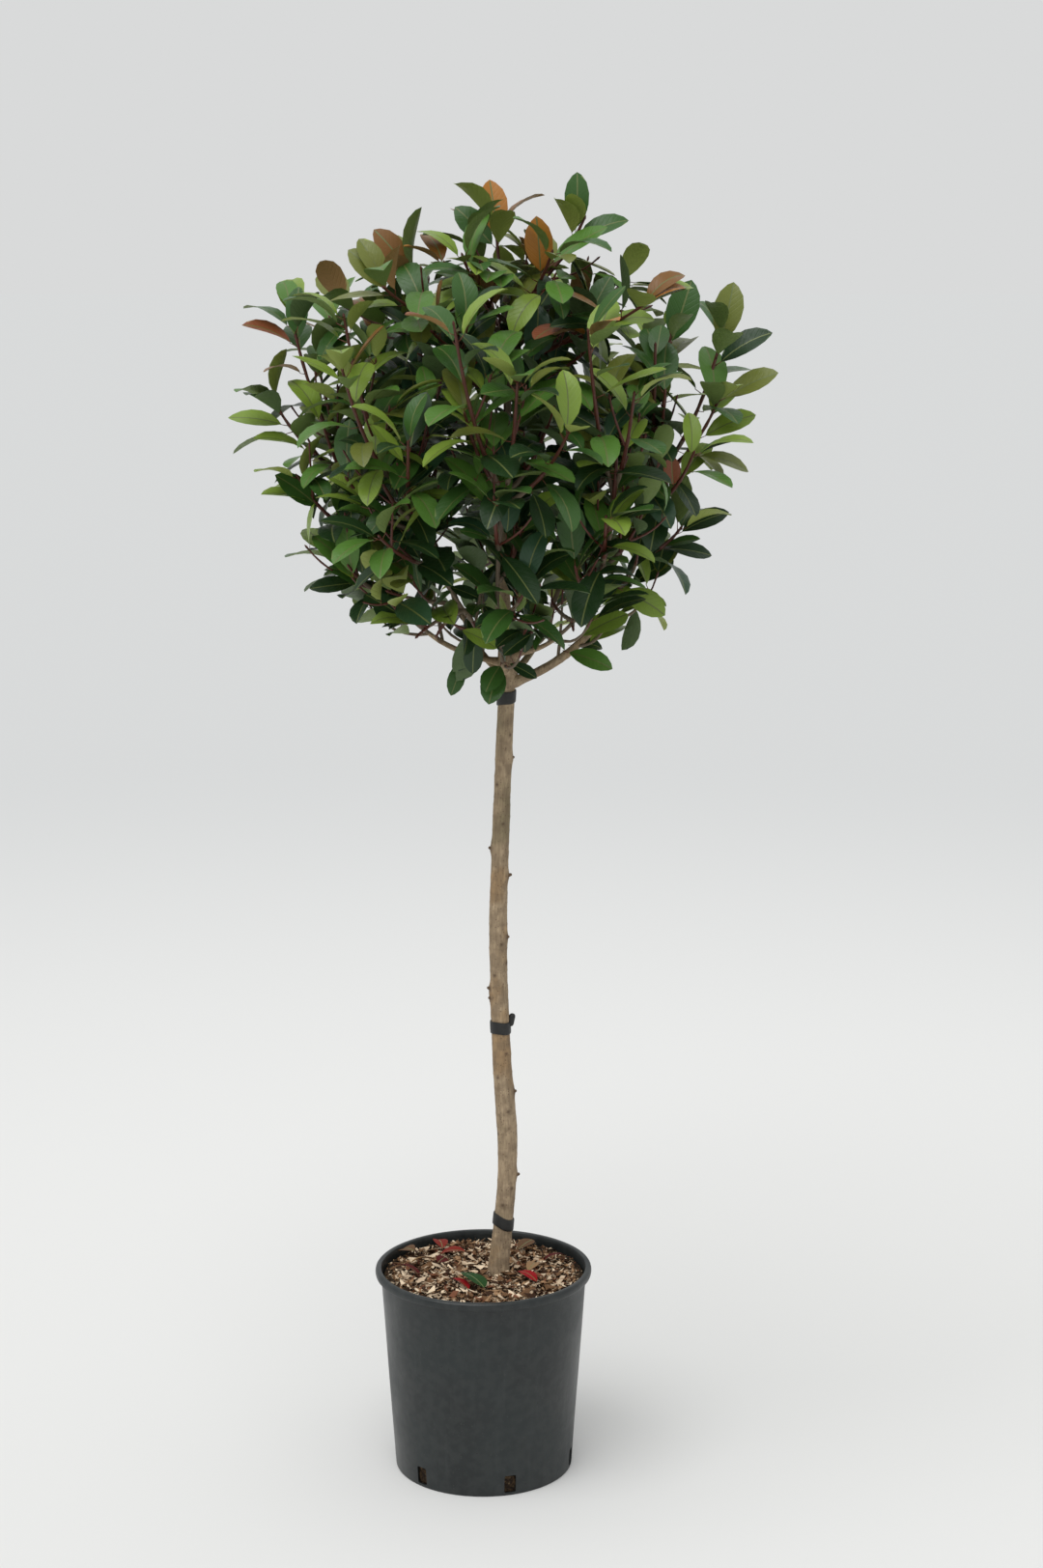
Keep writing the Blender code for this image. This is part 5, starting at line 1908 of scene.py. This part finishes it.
def grow_crown():
    """Every shoot, twig and leaf of the crown: the lines and leaves of each mass."""
    ends, limbs = crown_limbs()
    centres = mass_centres()
    spaces = {
        name: (own, [centre for other, centre in centres.items() if other != name])
        for name, own in centres.items()
    }
    stems, shoots = crown_shoots(spaces, ends)
    taken = {}
    leaves = add_leading_leaves(shoots, taken)
    lines = {}

    def add_twigs(name, path, seed, spray, shape, radius, young_from, extra=0.0, clear=0.0):
        """The leafy twigs of a shoot or bough, apart from those that end too near the crown's axis."""
        own, others = spaces[name]
        for k, twig in enumerate(side_twigs(path, seed + " twigs", own, others, *shape)):
            if math.hypot(twig[-1].x - CROWN_CENTRE.x, twig[-1].y) < clear:
                continue
            grown = grow_leaves(twig, f"{seed} twig {k}", spray, own, others, limbs, taken, extra)
            if grown:
                lines[name].append(shoot_line(twig, radius, TWIG_TIP_RADIUS, young_from))
                leaves[name] += grown

    for name, (own, others) in spaces.items():
        lines[name] = [stem_line(stems[name], *ends[name][1:])]
        seeds = [f"{name} {number}" for number in range(len(shoots[name]))]
        sprays = [spray_character(seed + " spray", path[-1]) for seed, path in zip(seeds, shoots[name])]
        for path, seed, spray in zip(shoots[name], seeds, sprays):
            young_from = LOW_YOUNG_FROM if path[-1].z < LOW_SHOOTS else YOUNG_FROM
            lines[name].append(shoot_line(path, SHOOT_RADIUS, SHOOT_TIP_RADIUS, young_from))
            extra = extra_reach(path[-1])
            leaves[name] += grow_leaves(path, seed, spray, own, others, limbs, taken, extra)
        for path, seed, spray in zip(shoots[name], seeds, sprays):
            shares = TWIG_SHARES if path[-1].z < LOW_CROWN else TWIG_SHARES[:HIGH_TWIGS]
            add_twigs(name, path, seed, spray, (shares, *TWIG_SHAPE), TWIG_RADIUS, 0.0)
    for name, (azimuth, start, _, reach, height) in BOUGHS.items():
        path = bough_path(azimuth, start, reach, height, ROUGH_STEPS)
        seed = name + " bough"
        spray = spray_character(seed, path[-1])
        add_twigs(name, path, seed, spray, BOUGH_TWIG_SHAPE, BOUGH_TWIG_RADIUS, LOW_YOUNG_FROM,
                  HANGING_REACH, TRUNK_CLEARANCE)
    return lines, leaves


def leader_path(count):
    """The limb that goes on up from the trunk's head."""
    foot = trunk_centre(TRUNK_TOP) - UP * LEADER_SUNK
    leader = (foot, foot + Vector(LEADER_BEND), Vector(LEADER_TIP))
    return [bezier(leader, step / count) for step in range(count + 1)]


def twig_tree(old_wood, young_wood):
    """Round twigs along lines, as thick as each point's stored radius."""

    def fill(tree, given):
        curve = put(tree, "GeometryNodeMeshToCurve", None, {"Mesh": given["Geometry"]})
        ring = put(tree, "GeometryNodeCurvePrimitiveCircle", None, {
            "Resolution": given["Sides"], "Radius": 1.0,
        })
        skin = put(tree, "GeometryNodeCurveToMesh", None, {
            "Curve": curve.outputs[0], "Profile Curve": ring.outputs[0],
            "Scale": stored(tree, "width", "FLOAT"), "Fill Caps": True,
        })
        solid = put(tree, "GeometryNodeRealizeInstances", None, {0: skin.outputs[0]})
        smooth = put(tree, "GeometryNodeSetShadeSmooth", None, {0: solid.outputs[0]})
        old = dressed(tree, smooth.outputs[0], old_wood)
        return {"Geometry": dressed(tree, old, young_wood, is_number(tree, "young", 1))}

    return named_group(
        "twigs along lines", "GeometryNodeTree",
        (("Geometry", "NodeSocketGeometry", None), ("Sides", "NodeSocketInt", 6)),
        (("Geometry", "NodeSocketGeometry"),), fill,
    )


def leaf_tree(forms, finishes):
    """A leaf form on each point, turned, sized and tinted as the point's stored values say."""

    def fill(tree, given):
        source = put(tree, "GeometryNodeCollectionInfo", None, {
            "Collection": forms, "Separate Children": True, "Reset Children": True,
        })
        turn = put(tree, "FunctionNodeEulerToRotation", None, {0: stored(tree, "facing", "FLOAT_VECTOR")})
        sprays = put(tree, "GeometryNodeInstanceOnPoints", None, {
            "Points": given["Geometry"], "Instance": source.outputs[0], "Pick Instance": True,
            "Instance Index": stored(tree, "form", "INT"), "Rotation": turn.outputs[0],
            "Scale": maths(tree, "MULTIPLY", stored(tree, "size", "FLOAT"), given["Scale"]),
        })
        solid = put(tree, "GeometryNodeRealizeInstances", None, {0: sprays.outputs[0]}).outputs[0]
        parts = {part: is_number(tree, "part", part) for part in (BLADE, UNDERSIDE, RIB, STALK)}
        for part in (RIB, STALK):
            solid = dressed(tree, solid, finishes[part], parts[part])
        for number, (name, (_, below)) in enumerate(TINTS.items()):
            tinted = is_number(tree, "tint", number)
            for part, made in ((BLADE, finishes[name]), (UNDERSIDE, finishes["under_" + below])):
                solid = dressed(tree, solid, made, both(tree, tinted, parts[part]))
        return {"Geometry": solid}

    return named_group(
        "leaf sprays", "GeometryNodeTree",
        (("Geometry", "NodeSocketGeometry", None), ("Scale", NUMBER, 1.0)),
        (("Geometry", "NodeSocketGeometry"),), fill,
    )


def leaf_piece(name, tree, leaves):
    """The joined leaves at these places."""
    places, turns, sizes, forms, tints = zip(*leaves)
    host = mesh_object(name + "_places", places, [], [], smooth=False)
    write_values(host.data, "facing", "FLOAT_VECTOR", "POINT", turns)
    write_values(host.data, "size", "FLOAT", "POINT", sizes)
    write_values(host.data, "form", "INT", "POINT", forms)
    write_values(host.data, "tint", "INT", "POINT", tints)
    repeat_with(host, tree, {"Scale": 1.0})
    return plain_result(host, name)


def twig_piece(name, tree, lines):
    """The joined twigs along these lines."""
    points = []
    widths = []
    ages = []
    edges = []
    for path, radii, young in lines:
        edges += [(len(points) + k, len(points) + k + 1) for k in range(len(path) - 1)]
        points += path
        widths += radii
        ages += young
    host = mesh_object(name + "_lines", points, [], [], smooth=False, edges=edges)
    write_values(host.data, "width", "FLOAT", "POINT", widths)
    write_values(host.data, "young", "INT", "POINT", ages)
    repeat_with(host, tree, {"Sides": TWIG_SIDES})
    return plain_result(host, name)


def leaf_finishes():
    made = {}
    for name, (colour, _) in TINTS.items():
        if name.startswith("fallen"):
            made[name] = blade_finish("leaf_" + name, colour, shine=0.70, strength=0.60, gloss=0.12)
        else:
            made[name] = blade_finish("leaf_" + name, colour, shine=0.34, strength=0.30)
    for name, colour in UNDERSIDES.items():
        made["under_" + name] = blade_finish("leaf_under_" + name, colour, shine=0.52, strength=0.45)
    made[RIB] = stalk_finish("leaf_rib", RIB_COLOUR, roughness=0.45, scale=300.0)
    made[STALK] = stalk_finish("leaf_stalk", PETIOLE_COLOUR, roughness=0.45, scale=300.0)
    return made


def fallen_leaves():
    """The places of the leaves that have fallen on the mulch, each lying a little tilted."""
    fallen = []
    for k, (x, y, over, turn, length, tint) in enumerate(FALLEN_LEAVES):
        chance = random.Random(FALLEN_SEED + k)
        face = Matrix.Rotation(math.radians(turn), 3, "Z")
        for axis, tilts in zip("XY", FALLEN_TILTS):
            face = face @ Matrix.Rotation(chance.uniform(*tilts), 3, axis)
        place = Vector((x, y, SOIL_TOP + over)) - face @ Vector((length * FALLEN_MIDDLE, 0.0, 0.0))
        form = BROAD_FORM if tint == "fallen_green" else k % COMMON_FORMS
        fallen.append((place, tuple(face.to_euler()), length, form, TINT_NAMES.index(tint)))
    return fallen


def build_crown():
    """The masses' twigs and leaves, and the leaves that have fallen on the mulch."""
    lines, leaves = grow_crown()
    forms = form_collection("leaf_forms", [leaf_form(k, form) for k, form in enumerate(LEAF_FORMS)])
    old_wood = stalk_finish("old_wood", (0.150, 0.112, 0.075), roughness=0.8, scale=260.0)
    young_wood = stalk_finish("young_wood", (0.085, 0.020, 0.010), roughness=0.5, scale=260.0)
    twigs = twig_tree(old_wood, young_wood)
    sprays = leaf_tree(forms, leaf_finishes())
    for name in lines:
        declare(twig_piece(f"twigs_{name}", twigs, lines[name]), "bark", f"foliage_{name}")
        declare(leaf_piece(f"leaves_{name}", sprays, leaves[name]), "leaf", f"foliage_{name}")
    declare(leaf_piece("fallen_leaves", sprays, fallen_leaves()), "leaf")
    drop_collection(forms)


def build_limbs(bark):
    build_trunk(bark)
    for k, (name, (azimuth, start, radius, reach, height)) in enumerate(BOUGHS.items()):
        path = bough_path(azimuth, start, reach, height, LIMB_RINGS)
        build_limb(f"bough_{name}_bark", path, radius, BOUGH_COLLAR, BOUGH_SEED + k, bark, f"bough_{name}")
    path = leader_path(LIMB_RINGS * 2)
    build_limb("leader_bark", path, LEADER_RADIUS, LEADER_COLLAR, LEADER_SEED, bark, "leader")


def set_stage():
    """A pale floor with a painted pool of light round the pot, a pale sky all round and a broad soft light
    from above.
    """
    half = FLOOR_SIZE / 2
    corners = [(-half, -half, 0.0), (half, -half, 0.0), (half, half, 0.0), (-half, half, 0.0)]
    floor = mesh_object("studio_floor", corners, [(0, 1, 2, 3)], [floor_finish()], smooth=False)
    world = bpy.data.worlds.new("studio")
    world.use_nodes = True
    world.node_tree.nodes["Background"].inputs["Color"].default_value = (*WORLD_COLOUR, 1.0)
    bpy.context.scene.world = world
    light = bpy.data.lights.new("sky_light", "SUN")
    light.energy = SUN_STRENGTH
    light.angle = SUN_SPREAD
    linked("sky_light", light).rotation_euler = SUN_TURN


def set_camera():
    """The photo's view: from the front, a little above the crown's middle, looking slightly down."""
    view = bpy.data.cameras.new("photo_view")
    view.lens = CAMERA_LENS
    view.sensor_width = CAMERA_SENSOR
    camera = linked("photo_view", view)
    camera.location = CAMERA_PLACE
    camera.rotation_euler = (CAMERA_TILT, 0.0, 0.0)
    bpy.context.scene.camera = camera


set_camera()
set_stage()
build_pot(pot_finish())
build_compost(compost_finish())
build_chips()
build_limbs(bark_finish())
rubber_made = rubber_finish()
for tie_name, tie_height, tie_slant in TIES:
    build_tie(tie_name, tie_height, tie_slant, rubber_made)
build_crown()

bpy.context.scene.view_settings.view_transform = "Standard"
